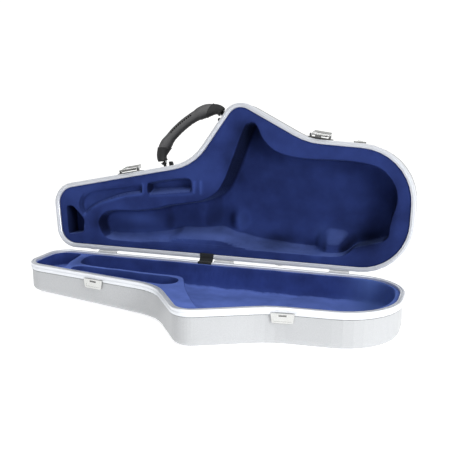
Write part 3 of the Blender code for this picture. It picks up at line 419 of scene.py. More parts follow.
def signed_distance(points, loop):
    """Distance of points to a closed loop, negative inside it."""
    best = np.full(len(points), 1e9)
    inside = np.zeros(len(points), bool)
    for a, b in zip(np.roll(loop, 1, axis=0), loop):
        edge = b - a
        rel = points - a
        t = np.clip((rel @ edge) / max(edge @ edge, 1e-12), 0, 1)
        gap = rel - t[:, None] * edge
        best = np.minimum(best, (gap ** 2).sum(1))
        crosses = (a[1] > points[:, 1]) != (b[1] > points[:, 1])
        with np.errstate(divide="ignore", invalid="ignore"):
            at = a[0] + (points[:, 1] - a[1]) / (b[1] - a[1]) * (b[0] - a[0])
        inside ^= crosses & (points[:, 0] < at)
    return np.where(inside, -1, 1) * np.sqrt(best)


def hill(points, u, v, reach_u, reach_v):
    """Soft round hill, one high at its middle."""
    return np.exp(-((points[:, 0] - u) / reach_u) ** 2 - ((points[:, 1] - v) / reach_v) ** 2)


def smooth_step(value, low, high):
    """Eased rise from 0 at low to 1 at high."""
    t = np.clip((value - low) / (high - low), 0, 1)
    return t * t * (3 - 2 * t)


def closed_curve(points):
    """Smooth closed curve through points given in thousandths."""
    knots = [np.array(p) for p in in_metres(points)]
    out = []
    for index in range(len(knots)):
        a, b, c, d = (knots[(index + k) % len(knots)] for k in (-1, 0, 1, 2))
        parts = max(2, math.ceil(np.linalg.norm(c - b) / CURVE_STEP))
        for part in range(parts):
            t = part / parts
            out.append(0.5 * (2 * b + (c - a) * t + (2 * a - 5 * b + 4 * c - d) * t ** 2
                              + (3 * b - a - 3 * c + d) * t ** 3))
    return np.array(out)


def inner_ring(loop, offset):
    """Loop moved into the hollow, without the points that a tight bend folds over."""
    if offset < 1e-6:
        return loop
    along = np.roll(loop, -1, axis=0) - np.roll(loop, 1, axis=0)
    along /= np.linalg.norm(along, axis=1)[:, None]
    area = np.sum(loop[:, 0] * np.roll(loop[:, 1], -1) - np.roll(loop[:, 0], -1) * loop[:, 1])
    inward = np.stack([-along[:, 1], along[:, 0]], 1) * math.copysign(1, area)
    moved = loop + inward * offset
    return moved[np.abs(signed_distance(moved, loop) + offset) < 0.06 * offset + 0.0001]


class Pocket:
    """Hollow in a lining. Its outline is in thousandths, its floor is a depth below the ledge or gives one.
    Its wall takes the width run, from a rounded lip to a fillet, and tone paints shade on its pile."""

    def __init__(self, points, floor, run, lip, fillet, tone=0.0):
        self.loop = closed_curve(points)
        self.tone = tone
        self.floor, self.run, self.lip, self.fillet = floor, run, lip, fillet

    def depth(self, points):
        into = -signed_distance(points, self.loop)
        floor = np.maximum(self.floor(points) if callable(self.floor) else self.floor, 0.0)
        lip = np.minimum(self.lip, floor * 0.4)
        fillet = np.minimum(self.fillet, floor * 0.5)
        edge = np.clip(into, 0, lip)
        round_top = lip - np.sqrt(np.maximum(lip ** 2 - edge ** 2, 0))
        wall = lip + (floor - fillet - lip) * np.clip((into - lip) / (self.run - self.lip * 0.99), 0, 1)
        reach = np.clip(into - self.run, 0, fillet)
        base = floor - fillet + np.sqrt(np.maximum(fillet ** 2 - (fillet - reach) ** 2, 0))
        depth = np.where(into < lip, round_top, np.where(into < self.run, wall, base))
        return np.where(into <= 0, 0, depth)

    def rings(self):
        """Loops at the bends of the wall, where the mesh needs points."""
        steps = [self.lip * share for share in (0.0, 0.45, 0.8, 1.0)]
        steps += [self.run + self.fillet * share for share in (0.0, 0.06, 0.25, 0.55, 1.0)]
        return [inner_ring(self.loop, step) for step in steps]


def blurred(faces, heights, rounds, share):
    """Heights averaged with their neighbours along the mesh's edges."""
    first = np.array([f[k] for f in faces for k in range(3)])
    second = np.array([f[(k + 1) % 3] for f in faces for k in range(3)])
    size = len(heights)
    count = np.bincount(first, minlength=size) + np.bincount(second, minlength=size)
    for _ in range(rounds):
        total = np.bincount(first, heights[second], size) + np.bincount(second, heights[first], size)
        heights = heights + share * (total / np.maximum(count, 1) - heights)
    return heights


def painted_shading_values(flat, pockets, patches):
    """Painted light and shade at each point: 0.5 is even, lower is painted shade, higher is painted light."""
    painted_shading = np.full(len(flat), 0.5)
    for u, v, reach_u, reach_v, amount in patches:
        painted_shading += 0.5 * amount * hill(flat, u, v, reach_u, reach_v)
    for pocket in pockets:
        if pocket.tone:
            painted_shading += 0.5 * pocket.tone * smooth_step(-signed_distance(flat, pocket.loop), 0.0008, 0.004)
    return np.clip(painted_shading, 0, 1)


def line_distance(points, line):
    """Distance of points to an open row of points."""
    best = np.full(len(points), 1e9)
    for a, b in zip(line, line[1:]):
        a, b = np.array(a), np.array(b)
        t = np.clip(((points - a) @ (b - a)) / ((b - a) @ (b - a)), 0, 1)
        best = np.minimum(best, np.linalg.norm(points - a - t[:, None] * (b - a), axis=1))
    return best


# A lining's mesh: loops inside its edge, their step and longest edge, the grid and its row height, its margin
# from the edge, and its least gap to a loop in grid steps
LINING_INSETS = (0.0003, 0.0012, 0.0030)
LOOP_STEP = 0.004
LONGEST_EDGE = 0.012
LINING_GRID = 0.0029
ROW_HEIGHT = 0.866
GRID_MARGIN = 0.0045
LEAST_GAP = 0.45
# The relief is blurred, it starts between two distances from the edge, and the edge rolls down
BLUR_ROUNDS, BLUR_SHARE = 2, 0.45
RELIEF_START = (0.0002, 0.0050)
EDGE_ROLL, ROLL_REACH = 0.0009, 0.0020


def lining_net(pockets):
    """Edge, points and triangles of a lining laid flat, with points along every bend of its relief."""
    loops = [resampled(case_outline(-inset), LOOP_STEP) for inset in LINING_INSETS]
    edge = loops[0]
    for pocket in pockets:
        loops += pocket.rings()
    points, edges = [], []
    for loop in loops:
        inside = signed_distance(loop, edge) < 0.0001
        first = len(points)
        points += [Vector(p) for p in loop]
        for index in range(len(loop)):
            after = (index + 1) % len(loop)
            if inside[index] and inside[after] and np.linalg.norm(loop[index] - loop[after]) < LONGEST_EDGE:
                edges.append((first + index, first + after))
    us = np.arange(-0.006, LENGTH + 0.004, LINING_GRID)
    vs = np.arange(0.0, WIDTH * 1.03, LINING_GRID * ROW_HEIGHT)
    lattice = np.array([(u + (LINING_GRID / 2 if row % 2 else 0), v) for row, v in enumerate(vs) for u in us])
    lattice = lattice[signed_distance(lattice, edge) < -GRID_MARGIN]
    tree = kdtree.KDTree(len(points))
    for index, point in enumerate(points):
        tree.insert((*point, 0), index)
    tree.balance()
    points += [Vector(p) for p in lattice if tree.find((*p, 0))[2] > LINING_GRID * LEAST_GAP]
    verts, _, faces, *_ = geometry.delaunay_2d_cdt(points, edges, [], 0, 1e-6)
    flat = np.array([tuple(v) for v in verts])
    centres = np.array([(flat[f[0]] + flat[f[1]] + flat[f[2]]) / 3 for f in faces])
    inside = signed_distance(centres, edge) < 0
    return edge, flat, [f for f, k in zip(faces, inside) if k]


def make_lining(name, node, body, matrix, sign, pockets, shape, patches, creases, material):
    """Plush sheet pressed over the hollows, as a fine triangulated relief."""
    edge, flat, faces = lining_net(pockets)
    depth = np.zeros(len(flat))
    for pocket in pockets:
        depth = np.maximum(depth, pocket.depth(flat))
    depth = blurred(faces, shape(flat, depth), BLUR_ROUNDS, BLUR_SHARE)
    painted_shading = painted_shading_values(flat, pockets, patches)
    for line, reach, rise, tone in creases:
        share = np.exp(-(line_distance(flat, line) / reach) ** 2)
        depth -= rise * share
        # Painted shade or painted highlight along the creases.
        painted_shading = np.clip(painted_shading + 0.5 * tone * share, 0, 1)
    inward = -signed_distance(flat, edge)
    depth *= smooth_step(inward, *RELIEF_START)
    depth += EDGE_ROLL * (1 - smooth_step(inward, 0, ROLL_REACH))
    places = [matrix @ Vector((u, -(v + HINGE_INSET), sign * (LEDGE + d))) for (u, v), d in zip(flat, depth)]
    made = add_mesh(name, places, faces, material)
    # The mesh stores painted light and shade for the plush material.
    painted_layer = made.data.attributes.new("painted_shading", "FLOAT", "POINT")
    painted_layer.data.foreach_set("value", painted_shading.astype(np.float32))
    bm = bmesh.new()
    bm.from_mesh(made.data)
    bmesh.ops.delete(bm, geom=[v for v in bm.verts if not v.link_faces], context="VERTS")
    bmesh.ops.recalc_face_normals(bm, faces=bm.faces)
    inwards = matrix.to_3x3() @ Vector((0, 0, -sign))
    if sum(f.normal.dot(inwards) * f.calc_area() for f in bm.faces) < 0:
        bmesh.ops.reverse_faces(bm, faces=bm.faces)
    bm.to_mesh(made.data)
    bm.free()
    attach(made, body)
    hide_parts(node)


def half_floor(points, depth, share, surface):
    """Depth below the ledge of a floor that follows the half's panel, with its deepest place at surface.
    The panel rises to a share of its depth at the neck end."""
    full = depth - RIM_ZONE
    fall = (1 - share) * full / PANEL_BEND
    table = full - fall * np.maximum(PANEL_BEND - points[:, 0], 0)
    return RIM_ZONE + table - (depth - surface) - LEDGE


def ripple(points, height):
    """Soft unevenness of plush over foam."""
    u, v = points[:, 0], points[:, 1]
    wave = np.sin(71 * u + 23 * v + 0.4) * np.sin(88 * v - 31 * u + 1.9)
    wave += 0.6 * np.sin(143 * u - 60 * v + 2.6) * np.sin(127 * v + 45 * u + 0.7)
    return height * wave


# The slope of the body's cavity beside the hinge: where it leaves the ledge and where it meets the floor (mm)
SLOPE_U = [60, 100, 163, 212, 230, 300, 326, 357, 383, 406, 431, 459, 486, 540, 560, 640]
SLOPE_TOP = [5, 6, 10, 17, 22, 25, 21, 15, 13, 13, 13, 13, 13, 11, 9, 9]
SLOPE_FOOT = [23, 24, 28, 36, 43, 48, 40, 34, 29, 27, 24, 22, 22, 20, 14, 14]
# How much shallower the neck end is, and the steps down from it: drop, from u, to u
SHALLOW = 0.024
FLOOR_STEPS = ((0.010, 0.186, 0.216), (0.014, 0.266, 0.302))
# The guard's mound: its rising and falling side along u, its front side along v, its top below the ledge
MOUND_RISE, MOUND_FALL, MOUND_FRONT = (0.470, 0.502), (0.518, 0.554), (0.026, 0.064)
MOUND_TOP = 0.022
# The saddle's hills, as shares of its height, and the dip behind them: u, v, reach along u, reach along v
SADDLE_HEIGHT = 0.013
SADDLE_HILLS = ((1.0, (0.328, 0.060, 0.013, 0.018)), (0.7, (0.350, 0.036, 0.030, 0.012)),
                (0.5, (0.262, 0.070, 0.022, 0.030)))
DIP_DEPTH, DIP = 0.004, (0.400, 0.070, 0.050, 0.030)
# The front edge of the neck's channel
NECK_EDGE_U = [0.034, 0.039, 0.055, 0.078, 0.127, 0.160]
NECK_EDGE_V = [0.078, 0.092, 0.100, 0.107, 0.115, 0.1205]


def body_floor(points):
    """The instrument's cavity: two steps, a slope beside the hinge, the guard's mound, a saddle and a dip."""
    u, v = points[:, 0], points[:, 1]
    floor = half_floor(points, BODY_DEPTH, share=0.82, surface=0.072)
    lift = SHALLOW
    for drop, start, end in FLOOR_STEPS:
        lift -= drop * smooth_step(u, start, end)
    floor -= lift
    top = np.interp(u * 1000, SLOPE_U, SLOPE_TOP) / 1000
    foot = np.interp(u * 1000, SLOPE_U, SLOPE_FOOT) / 1000
    climb = np.clip((v - top) / (foot - top), 0, 1)
    floor *= 0.06 + 0.94 * (0.55 * climb + 0.45 * climb * climb * (3 - 2 * climb))
    mound = smooth_step(u, *MOUND_RISE) * (1 - smooth_step(u, *MOUND_FALL))
    floor -= mound * (1 - smooth_step(v, *MOUND_FRONT)) * np.maximum(floor - MOUND_TOP, 0)
    floor -= sum(share * hill(points, *place) for share, place in SADDLE_HILLS) * SADDLE_HEIGHT
    floor += DIP_DEPTH * hill(points, *DIP)
    return floor + ripple(points, 0.0009) * smooth_step(floor, 0.006, 0.02)


def neck_floor(points):
    """The neck's channel rises softly on its front side."""
    edge = np.interp(points[:, 0], NECK_EDGE_U, NECK_EDGE_V)
    return 0.0115 * smooth_step(edge - points[:, 1], -0.003, 0.014)


def mouthpiece_floor(points):
    """The mouthpiece's hollow has a sloping wall on the hinge side."""
    u, v = points[:, 0], points[:, 1]
    return 0.024 * np.clip((v - 0.0985 - 0.127 * (u - 0.176)) / 0.0115, 0.05, 1)


body_pockets = [
    Pocket([(125.4, 110), (118.3, 159), (126.8, 210), (144.8, 247), (175.7, 261), (218.8, 266),
            (279.5, 287), (324.3, 319), (368.8, 341), (413, 362), (442, 391), (467.4, 440), (479.5, 495),
            (490.1, 554), (501.4, 638), (516, 750), (527.3, 835), (539.5, 897), (560.2, 910), (574.5, 877),
            (588.1, 813), (610.7, 755), (637.1, 719), (684.2, 696), (742.8, 693), (804.7, 696),
            (858.1, 689), (903.4, 665), (928.5, 629), (950.4, 566), (962.6, 489), (962.5, 420),
            (954.4, 349), (948.2, 279), (947, 219), (932, 174), (896.9, 147), (856.7, 115), (835, 72),
            (800, 48), (700, 45), (550, 45), (400, 45), (300, 40), (220, 36), (160, 40), (137, 64)],
           body_floor, 0.0045, 0.0026, 0.007),
    Pocket([(56, 268), (62, 330), (86, 380), (120, 405), (154.7, 420), (200, 438), (238, 455), (247.5, 447),
            (251.5, 410), (250, 380), (230, 366), (198.8, 351), (150.1, 308), (107.3, 258), (88, 214),
            (78, 196), (64, 222)],
           neck_floor, 0.0060, 0.0030, 0.0050),
    Pocket([(261.5, 420), (262.5, 455), (272, 466), (329.8, 497), (370, 510), (386, 506), (393.5, 482),
            (395, 430), (391, 408), (352.6, 393), (290, 371), (272, 370), (263.5, 384)],
           mouthpiece_floor, 0.0042, 0.0022, 0.0050),
    Pocket([(19.5, 249), (23, 262), (30, 265), (39.5, 263), (47, 250), (57.2, 226), (70, 195), (77, 170),
            (78.5, 130), (77.5, 90), (74, 78), (56, 66), (40, 58), (32.5, 60), (29, 74), (25.5, 130),
            (22, 200)],
           # The accessory slot's pile gets painted shade.
           0.040, 0.0026, 0.0016, 0.0030, tone=-0.25)]

# Painted shade and light on the pile: u, v, reach along u, reach along v, painted shade (less than 0) or
# painted light
BODY_PAINTED_SHADING = [(0.203, 0.052, 0.01, 0.015, -0.5), (0.297, 0.066, 0.016, 0.024, -0.45),
            (0.402, 0.03, 0.024, 0.012, -0.45), (0.572, 0.044, 0.034, 0.018, -0.85),
            (0.612, 0.105, 0.01, 0.045, -0.6), (0.333, 0.055, 0.013, 0.02, 0.45),
            (0.145, 0.052, 0.04, 0.014, 0.75), (0.075, 0.043, 0.01, 0.022, -0.6),
            (0.2, 0.024, 0.08, 0.009, 0.65), (0.42, 0.02, 0.12, 0.006, 0.15),
            (0.25, 0.15, 0.05, 0.03, 0.25), (0.045, 0.11, 0.06, 0.08, 0.28),
            (0.345, 0.222, 0.02, 0.026, -0.75), (0.322, 0.165, 0.012, 0.04, -0.45),
            (0.508, 0.045, 0.018, 0.012, 0.3), (0.176, 0.114, 0.007, 0.01, -0.4),
            (0.45, 0.12, 0.06, 0.03, -0.12), (0.42, 0.165, 0.05, 0.025, 0.1),
            (0.485, 0.036, 0.013, 0.024, 0.95), (0.405, 0.025, 0.065, 0.015, -0.34),
            (0.335, 0.03, 0.02, 0.014, -0.12)]


def body_shape(points, depth):
    """Small forms of the body lining: a crumple on the slope beside the hinge, and an uneven ledge."""
    u, v = points[:, 0], points[:, 1]
    flat = depth < 0.0005
    crumple = np.exp(-((u - 0.150 - (v - 0.022) * 1.6) / 0.0016) ** 2 - ((v - 0.022) / 0.004) ** 2)
    return depth - 0.0010 * crumple + ripple(points, 0.00035) * flat


lid_pockets = [
    Pocket([(129, 262), (115, 215), (110, 130), (113, 55), (129, 22), (200, 18), (400, 18), (600, 18),
            (800, 18), (885, 24), (940, 62), (975, 160), (988, 300), (986, 450), (970, 580), (940, 670),
            (895, 728), (840, 750), (780, 758), (720, 772), (660, 815), (600, 882), (560, 935), (544, 930),
            (519.5, 841), (470.9, 606), (446, 456), (434, 380), (423, 345), (405, 328), (354.9, 329),
            (279.5, 315), (187, 290), (150, 280)],
           lambda p: half_floor(p, LID_DEPTH, share=0.76, surface=0.043) + ripple(p, 0.0008),
           0.0050, 0.0026, 0.009),
    Pocket([(10, 100), (15, 40), (28, 18), (70, 18), (88, 40), (89.5, 120), (90, 220), (96, 330), (93, 376),
            (70, 380), (30, 356), (4, 330), (2, 260), (6, 180)],
           lambda p: 0.021 + ripple(p, 0.0022), 0.0050, 0.0022, 0.006),
    Pocket([(115, 355), (118, 328), (140, 309), (187, 313), (279.5, 339), (354.9, 354), (398, 358),
            (422, 390), (432, 445), (424, 508), (398, 538), (350, 523), (270, 479), (190, 437), (130, 404),
            (117, 388)],
           0.018, 0.0045, 0.0022, 0.006)]


def lid_shape(points, depth):
    """The lid's ledge is a little uneven."""
    return depth + ripple(points, 0.0004) * (depth < 0.0005)


# Painted shade and light on the lid's pile, as on the body's.
LID_PAINTED_SHADING = [(0.075, 0.05, 0.012, 0.03, -0.45), (0.615, 0.1, 0.04, 0.1, 0.75),
           (0.03, 0.07, 0.01, 0.02, 0.35), (0.33, 0.09, 0.04, 0.05, 0.15),
           (0.605, 0.01, 0.045, 0.06, 1.0)]

# Raised creases: line, half width, rise, and painted shade (less than 0) or painted highlight on the pile
# along them
BODY_CREASES = [
    ([(0.05, 0.053), (0.056, 0.064), (0.08, 0.0775), (0.128, 0.0935), (0.159, 0.0995)],
     0.0024, 0.0011, 0.55),
    ([(0.1615, 0.103), (0.161, 0.118)], 0.0022, 0.0012, 0.60),
    ([(0.043, 0.024), (0.049, 0.033)], 0.0022, 0.0010, 0.60),
    ([(0.2585, 0.1085), (0.258, 0.1275)], 0.0021, 0.0016, 0.55),
    ([(0.2712, 0.1075), (0.27, 0.129)], 0.0021, 0.0018, 0.65),
    ([(0.176, 0.097), (0.22, 0.102), (0.255, 0.106)], 0.0022, 0.0005, 0.30)]
LID_CREASES = [([(0.0762, 0.081), (0.1235, 0.085), (0.2006, 0.0922), (0.2522, 0.0958), (0.274, 0.1064)],
                0.0020, 0.0004, 0.20)]

make_lining("body_lining_plush", "body_lining", "case_body", BODY, 1,
            body_pockets, body_shape, BODY_PAINTED_SHADING, BODY_CREASES, plush)
make_lining("lid_lining_plush", "lid_lining", "lid", LID, -1,
            lid_pockets, lid_shape, LID_PAINTED_SHADING, LID_CREASES, plush_lid_painted_lit)


# Skins over rings of points

def turns(count):
    """Angles of count places evenly round a circle."""
    return [2 * math.pi * k / count for k in range(count)]


def skin(rows, closed_ends=True):
    """Points and faces between rings of points, with the ends capped."""
    faces = []
    count = len(rows[0])
    for row in range(len(rows) - 1):
        near, far = row * count, (row + 1) * count
        for k in range(count):
            after = (k + 1) % count
            faces.append((near + k, near + after, far + after, far + k))
    points = [p for row in rows for p in row]
    if closed_ends:
        for row, flip in ((0, 1), (len(rows) - 1, 0)):
            points.append(sum(rows[row], Vector()) / count)
            tip = len(points) - 1
            for k in range(count):
                pair = (row * count + k, row * count + (k + 1) % count)
                faces.append((*(reversed(pair) if flip else pair), tip))
    return points, faces


def closed_skin(rows):
    """Points and faces of rings that follow a path back to its start."""
    points, faces = skin(rows + [rows[0]], closed_ends=False)
    total = len(rows) * len(rows[0])
    return points[:total], [tuple(i % total for i in face) for face in faces]


def many_skins(parts):
    """Points and faces of several capped skins as one piece."""
    points, faces = [], []
    for rows in parts:
        more, more_faces = skin(rows)
        faces += [tuple(i + len(points) for i in face) for face in more_faces]
        points += more
    return points, faces


def outward(made):
    """Turn a closed piece's faces outwards."""
    bm = bmesh.new()
    bm.from_mesh(made.data)
    bmesh.ops.recalc_face_normals(bm, faces=bm.faces)
    bm.to_mesh(made.data)
    bm.free()
    return made


# Grey bead in the corner between each rim's flange and its shell: a painted shadow line under the flange

BEAD_OUT = 0.0064
BEAD_LEVEL = 0.0124
BEAD_RADIUS = 0.00065
BEAD_SIDES = 8


def make_bead(name, body, matrix, sign):
    """Thin grey bead round the shell under the flange's edge, that paints the shadow line there."""
    loop = case_outline(BEAD_OUT)
    rows = []
    for index, point in enumerate(loop):
        along = loop[(index + 1) % len(loop)] - loop[index - 1]
        if along.length < 1e-7:
            continue
        out = Vector((along.y, -along.x)).normalized()
        ring = []
        for angle in turns(BEAD_SIDES):
            place = point + out * math.cos(angle) * BEAD_RADIUS
            level = sign * (BEAD_LEVEL + math.sin(angle) * BEAD_RADIUS)
            ring.append(matrix @ Vector((place.x, -(place.y + HINGE_INSET), level)))
        rows.append(ring)
    made = outward(add_mesh(name, *closed_skin(rows), painted_shadow_line))
    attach(made, body)


make_bead("lid_rim_bead", "lid", LID, -1)
make_bead("body_rim_bead", "case_body", BODY, 1)


# Handle: padded leather grip, two leather sleeves and the grip's stitched seam

# The handle's own frame has x along its pivots and z along the case body's depth
pivots, deep = Vector(joints["handle_swing"]["axis"]), BODY.to_3x3().col[2]
HANDLE = placed(pivots, deep.cross(pivots), deep, joints["handle_swing"]["pos_m"])
# Half the way between the pivots, the straight legs and the bow's height
HANDLE_HALF = 0.071065
HANDLE_LEG = 0.0040
HANDLE_BOW = 0.0316
# Radius in mm at each station in degrees along the bow
GRIP_RADII = [(22, 7.6), (30, 9.0), (37, 10.4), (46, 11.2), (52, 11.1), (56, 10.5), (60, 9.8), (75, 9.6),
              (90, 9.6), (110, 9.8), (116, 10.2), (121, 11.5), (128, 12.1), (138, 11.9), (145, 10.8),
              (151, 9.4), (157, 7.6)]
SLEEVE_RADII = [(-8, 8.3), (0, 8.7), (12, 9.0), (24, 9.7), (33, 10.9), (42, 12.0), (54, 12.6)]
SLEEVE_WALL = 0.0013
FLATTENED = 0.96
RING_POINTS = 40
# Where the seam and the painted highlight lie round the grip: a quarter turn back is the near side
SEAM_TURN = -math.radians(66)
HIGHLIGHT_TURN = -math.radians(60)
HIGHLIGHT_SPREAD = 0.95
HIGHLIGHT_EDGE = 2.4
# The seam's ridge, the groove beside it and the creases inside the bow: height, place and spread in radians
RIDGE_HEIGHT, RIDGE_SPREAD = 0.00055, 0.16
GROOVE_DEPTH, GROOVE_TURN, GROOVE_SPREAD = 0.00035, 0.34, 0.10
CREASE_HEIGHT = 0.00022
# Stitches: how many, their first and last station, half a stitch in degrees, the thread's radius, its rise
# over the grip, and how far its ends sink
STITCHES = 11
FIRST_STITCH, LAST_STITCH = 71, 109
HALF_STITCH = 1.15
THREAD_RADIUS = 0.0014
THREAD_RISE, THREAD_SINK = 0.00062, 0.00055


def handle_centre(degrees):
    """Point and direction of the handle's centre line in its own plane, with straight ends."""
    angle = math.radians(max(0.0, min(180.0, degrees)))
    rise = HANDLE_BOW - HANDLE_LEG
    point = Vector((-HANDLE_HALF * math.cos(angle), -HANDLE_LEG - rise * math.sin(angle), 0))
    along = Vector((HANDLE_HALF * math.sin(angle), -rise * math.cos(angle), 0)).normalized()
    point.y += math.radians(max(0, -degrees, degrees - 180)) * rise
    return point, along


def smooth_table(value, table):
    """Reading of a table of (station, number) rows with eased steps between them."""
    stations, numbers = zip(*table)
    index = int(np.clip(np.searchsorted(stations, value) - 1, 0, len(table) - 2))
    span = stations[index + 1] - stations[index]
    t = np.clip((value - stations[index]) / span, 0, 1)
    tangent = np.gradient(numbers, stations)
    a, b = numbers[index], numbers[index + 1]
    return ((2 * t ** 3 - 3 * t ** 2 + 1) * a + (t ** 3 - 2 * t ** 2 + t) * span * tangent[index]
            + (3 * t ** 2 - 2 * t ** 3) * b + (t ** 3 - t ** 2) * span * tangent[index + 1])


def tube_point(degrees, turn, radius):
    """Point round the centre line: turn 0 is the bow's outer side, a quarter turn is the far side."""
    point, along = handle_centre(degrees)
    outer = Vector((along.y, -along.x, 0))
    aside = Vector((0, 0, 1)) * math.sin(turn) * radius * FLATTENED
    return HANDLE @ (point + outer * math.cos(turn) * radius + aside)


def paint_highlight(made, rows):
    """Store a painted highlight at each point, from where it lies round the handle."""
    once = [(turn + math.pi) % (2 * math.pi) - math.pi for turn in turns(RING_POINTS)]
    painted_highlight = [max(0.0, math.cos((turn - HIGHLIGHT_TURN) * HIGHLIGHT_SPREAD)) ** HIGHLIGHT_EDGE for turn in once]
    values = painted_highlight * len(rows)
    values += [0.0] * (len(made.data.vertices) - len(values))
    made.data.attributes.new("painted_highlight", "FLOAT", "POINT").data.foreach_set("value", values)


def make_grip():
    """Leather rolled round a core: thicker ends, a raised seam along the near side, small creases inside."""
    rows = []
    steps = 120
    first, last = GRIP_RADII[0][0], GRIP_RADII[-1][0]
    for step in range(steps + 1):
        degrees = first + (last - first) * step / steps
        radius = smooth_table(degrees, GRIP_RADII) / 1000
        middle = math.exp(-((degrees - 88) / 30) ** 4)
        row = []
        for turn in turns(RING_POINTS):
            off = (turn - SEAM_TURN + math.pi) % (2 * math.pi) - math.pi
            ridge = RIDGE_HEIGHT * math.exp(-(off / RIDGE_SPREAD) ** 2)
            groove = GROOVE_DEPTH * math.exp(-((off - GROOVE_TURN) / GROOVE_SPREAD) ** 2)
            inner = max(0.0, -math.cos(turn)) ** 2
            crease = CREASE_HEIGHT * inner * math.sin(degrees * 1.15 + 1.7 * math.sin(degrees * 0.31 + turn))
            row.append(tube_point(degrees, turn, radius + middle * (ridge - groove) + crease))
        rows.append(row)
    grip = outward(add_mesh("handle_grip_leather", *skin(rows), leather))
    paint_highlight(grip, rows)
    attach(grip, "handle")
    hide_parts("handle_grip")


def make_stitches():
    """Thick thread through the grip's seam."""
    sides, rings = 8, 5
    parts = []
    for number in range(STITCHES):
        middle = FIRST_STITCH + (LAST_STITCH - FIRST_STITCH) * number / (STITCHES - 1)
        rows = []
        for ring in range(rings):
            share = 2 * ring / (rings - 1) - 1
            degrees = middle + share * HALF_STITCH
            sink = THREAD_SINK * share ** 4
            radius = smooth_table(degrees, GRIP_RADII) / 1000 + THREAD_RISE - sink
            thick = THREAD_RADIUS * math.sqrt(max(0.12, 1 - share ** 4 * 0.88))
            centre = tube_point(degrees, SEAM_TURN, radius)
            out = (centre - tube_point(degrees, SEAM_TURN, 0)).normalized()
            ahead = (tube_point(degrees + 0.5, SEAM_TURN, radius) - centre).normalized()
            across = out.cross(ahead).normalized()
            rows.append([centre + (out * math.sin(a) + across * math.cos(a)) * thick for a in turns(sides)])
        parts.append(rows)
    made = outward(add_mesh("handle_seam_stitches", *many_skins(parts), thread))
    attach(made, "handle")


def make_sleeve(word, mirrored, edge, slant, foot, foot_slant):
    """Leather sleeve from the pivot up over the grip's end. Edge and foot are stations, both slanted."""
    outer_rows, inner_rows = [], []
    steps = 34
    for step in range(steps + 1):
        share = step / steps
        rolled = 0.0006 * (smooth_step(share, 0.90, 0.96) - smooth_step(share, 0.97, 1.0))
        outer_row, inner_row = [], []
        for turn in turns(RING_POINTS):
            top = edge - slant * math.cos(turn)
            start = foot + foot_slant * math.cos(turn)
            degrees = start + (top - start) * share
            radius = smooth_table(degrees, SLEEVE_RADII) / 1000
            fold = 0.0003 * math.sin(3 * turn + degrees * 0.12) * math.sin(math.pi * share)
            place = 180 - degrees if mirrored else degrees
            outer_row.append(tube_point(place, turn, radius + rolled + fold))
            inner_row.append(tube_point(place, turn, radius + fold - SLEEVE_WALL))
        outer_rows.append(outer_row)
        inner_rows.append(inner_row)
    rows = outer_rows + inner_rows[::-1]
    made = outward(add_mesh(f"handle_{word}_sleeve_leather", *closed_skin(rows), leather_dark))
    paint_highlight(made, rows)
    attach(made, "handle")
    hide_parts(f"handle_{word}_sleeve")


make_grip()
make_stitches()
make_sleeve("low", False, edge=42.0, slant=6.0, foot=0.5, foot_slant=6.5)
make_sleeve("high", True, edge=39.0, slant=10.0, foot=-2.0, foot_slant=4.0)


# Webbing stay across the hinge line

def make_strap():
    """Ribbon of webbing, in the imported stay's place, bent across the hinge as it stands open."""
    # Place along the opening as a share, then the ribbon's own width and thickness
    share, width, thick = 0.448, 0.0248, 0.0012
    # Path across the hinge, from its axis: inner end, height over the rims, way out between them, leg's end
    inner, rise, standoff, leg = -0.01175, 0.00085, -0.0028, 0.0090
    bend, bend_steps, finest, columns = 0.0013, 6, 0.0009, 12
    turn = Matrix.Rotation(-OPENING, 2)
    path = [Vector((inner, -leg)), Vector((inner, -rise)), Vector((standoff, -rise))]
    path += [turn @ Vector((standoff, rise)), turn @ Vector((inner, rise)), turn @ Vector((inner, leg))]
    line = [path[0]]
    for before, corner, after in zip(path, path[1:], path[2:]):
        reach = min(bend, (corner - before).length / 2, (after - corner).length / 2)
        start = corner + (before - corner).normalized() * reach
        end = corner + (after - corner).normalized() * reach
        for step in range(bend_steps + 1):
            t = step / bend_steps
            line.append(start * (1 - t) ** 2 + corner * 2 * t * (1 - t) + end * t * t)
    line.append(path[-1])
    fine = [line[0]]
    for before, after in zip(line, line[1:]):
        parts = max(1, math.ceil((after - before).length / finest))
        fine += [before.lerp(after, k / parts) for k in range(1, parts + 1)]
    spread = [-1 + 2 * k / columns for k in range(columns + 1)]
    edge = [0.35] + [1.0] * (columns - 1) + [0.35]
    rows = []
    for index, point in enumerate(fine):
        ahead = (fine[min(index + 1, len(fine) - 1)] - fine[max(index - 1, 0)]).normalized()
        normal = Vector((-ahead.y, ahead.x))
        row = [(s * width / 2, e * thick / 2) for s, e in zip(spread, edge)]
        row += [(s * width / 2, -e * thick / 2) for s, e in zip(spread[::-1], edge[::-1])]
        place = LENGTH * share
        rows.append([hinge_point + Vector((place - LENGTH / 2 + x, *(point + normal * h))) for x, h in row])
    strap = outward(add_mesh("hinge_stay_webbing", *skin(rows), webbing))
    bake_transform(strap)
    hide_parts("hinge_stay_strap")


make_strap()


# Rivets through the hinge leaves: height and radius along their heads, their places along a leaf, the leaf's
# face, and the rivets' distance from the parting plane

RIVET_PROFILE = [(0.0, 0.0016), (0.00025, 0.0016), (0.0005, 0.0012), (0.00065, 0.0006)]
RIVET_SIDES = 20
RIVET_PLACES = (-0.0115, 0.0, 0.0115)
LEAF_FACE = -0.0015
RIVET_LEVEL = 0.0074


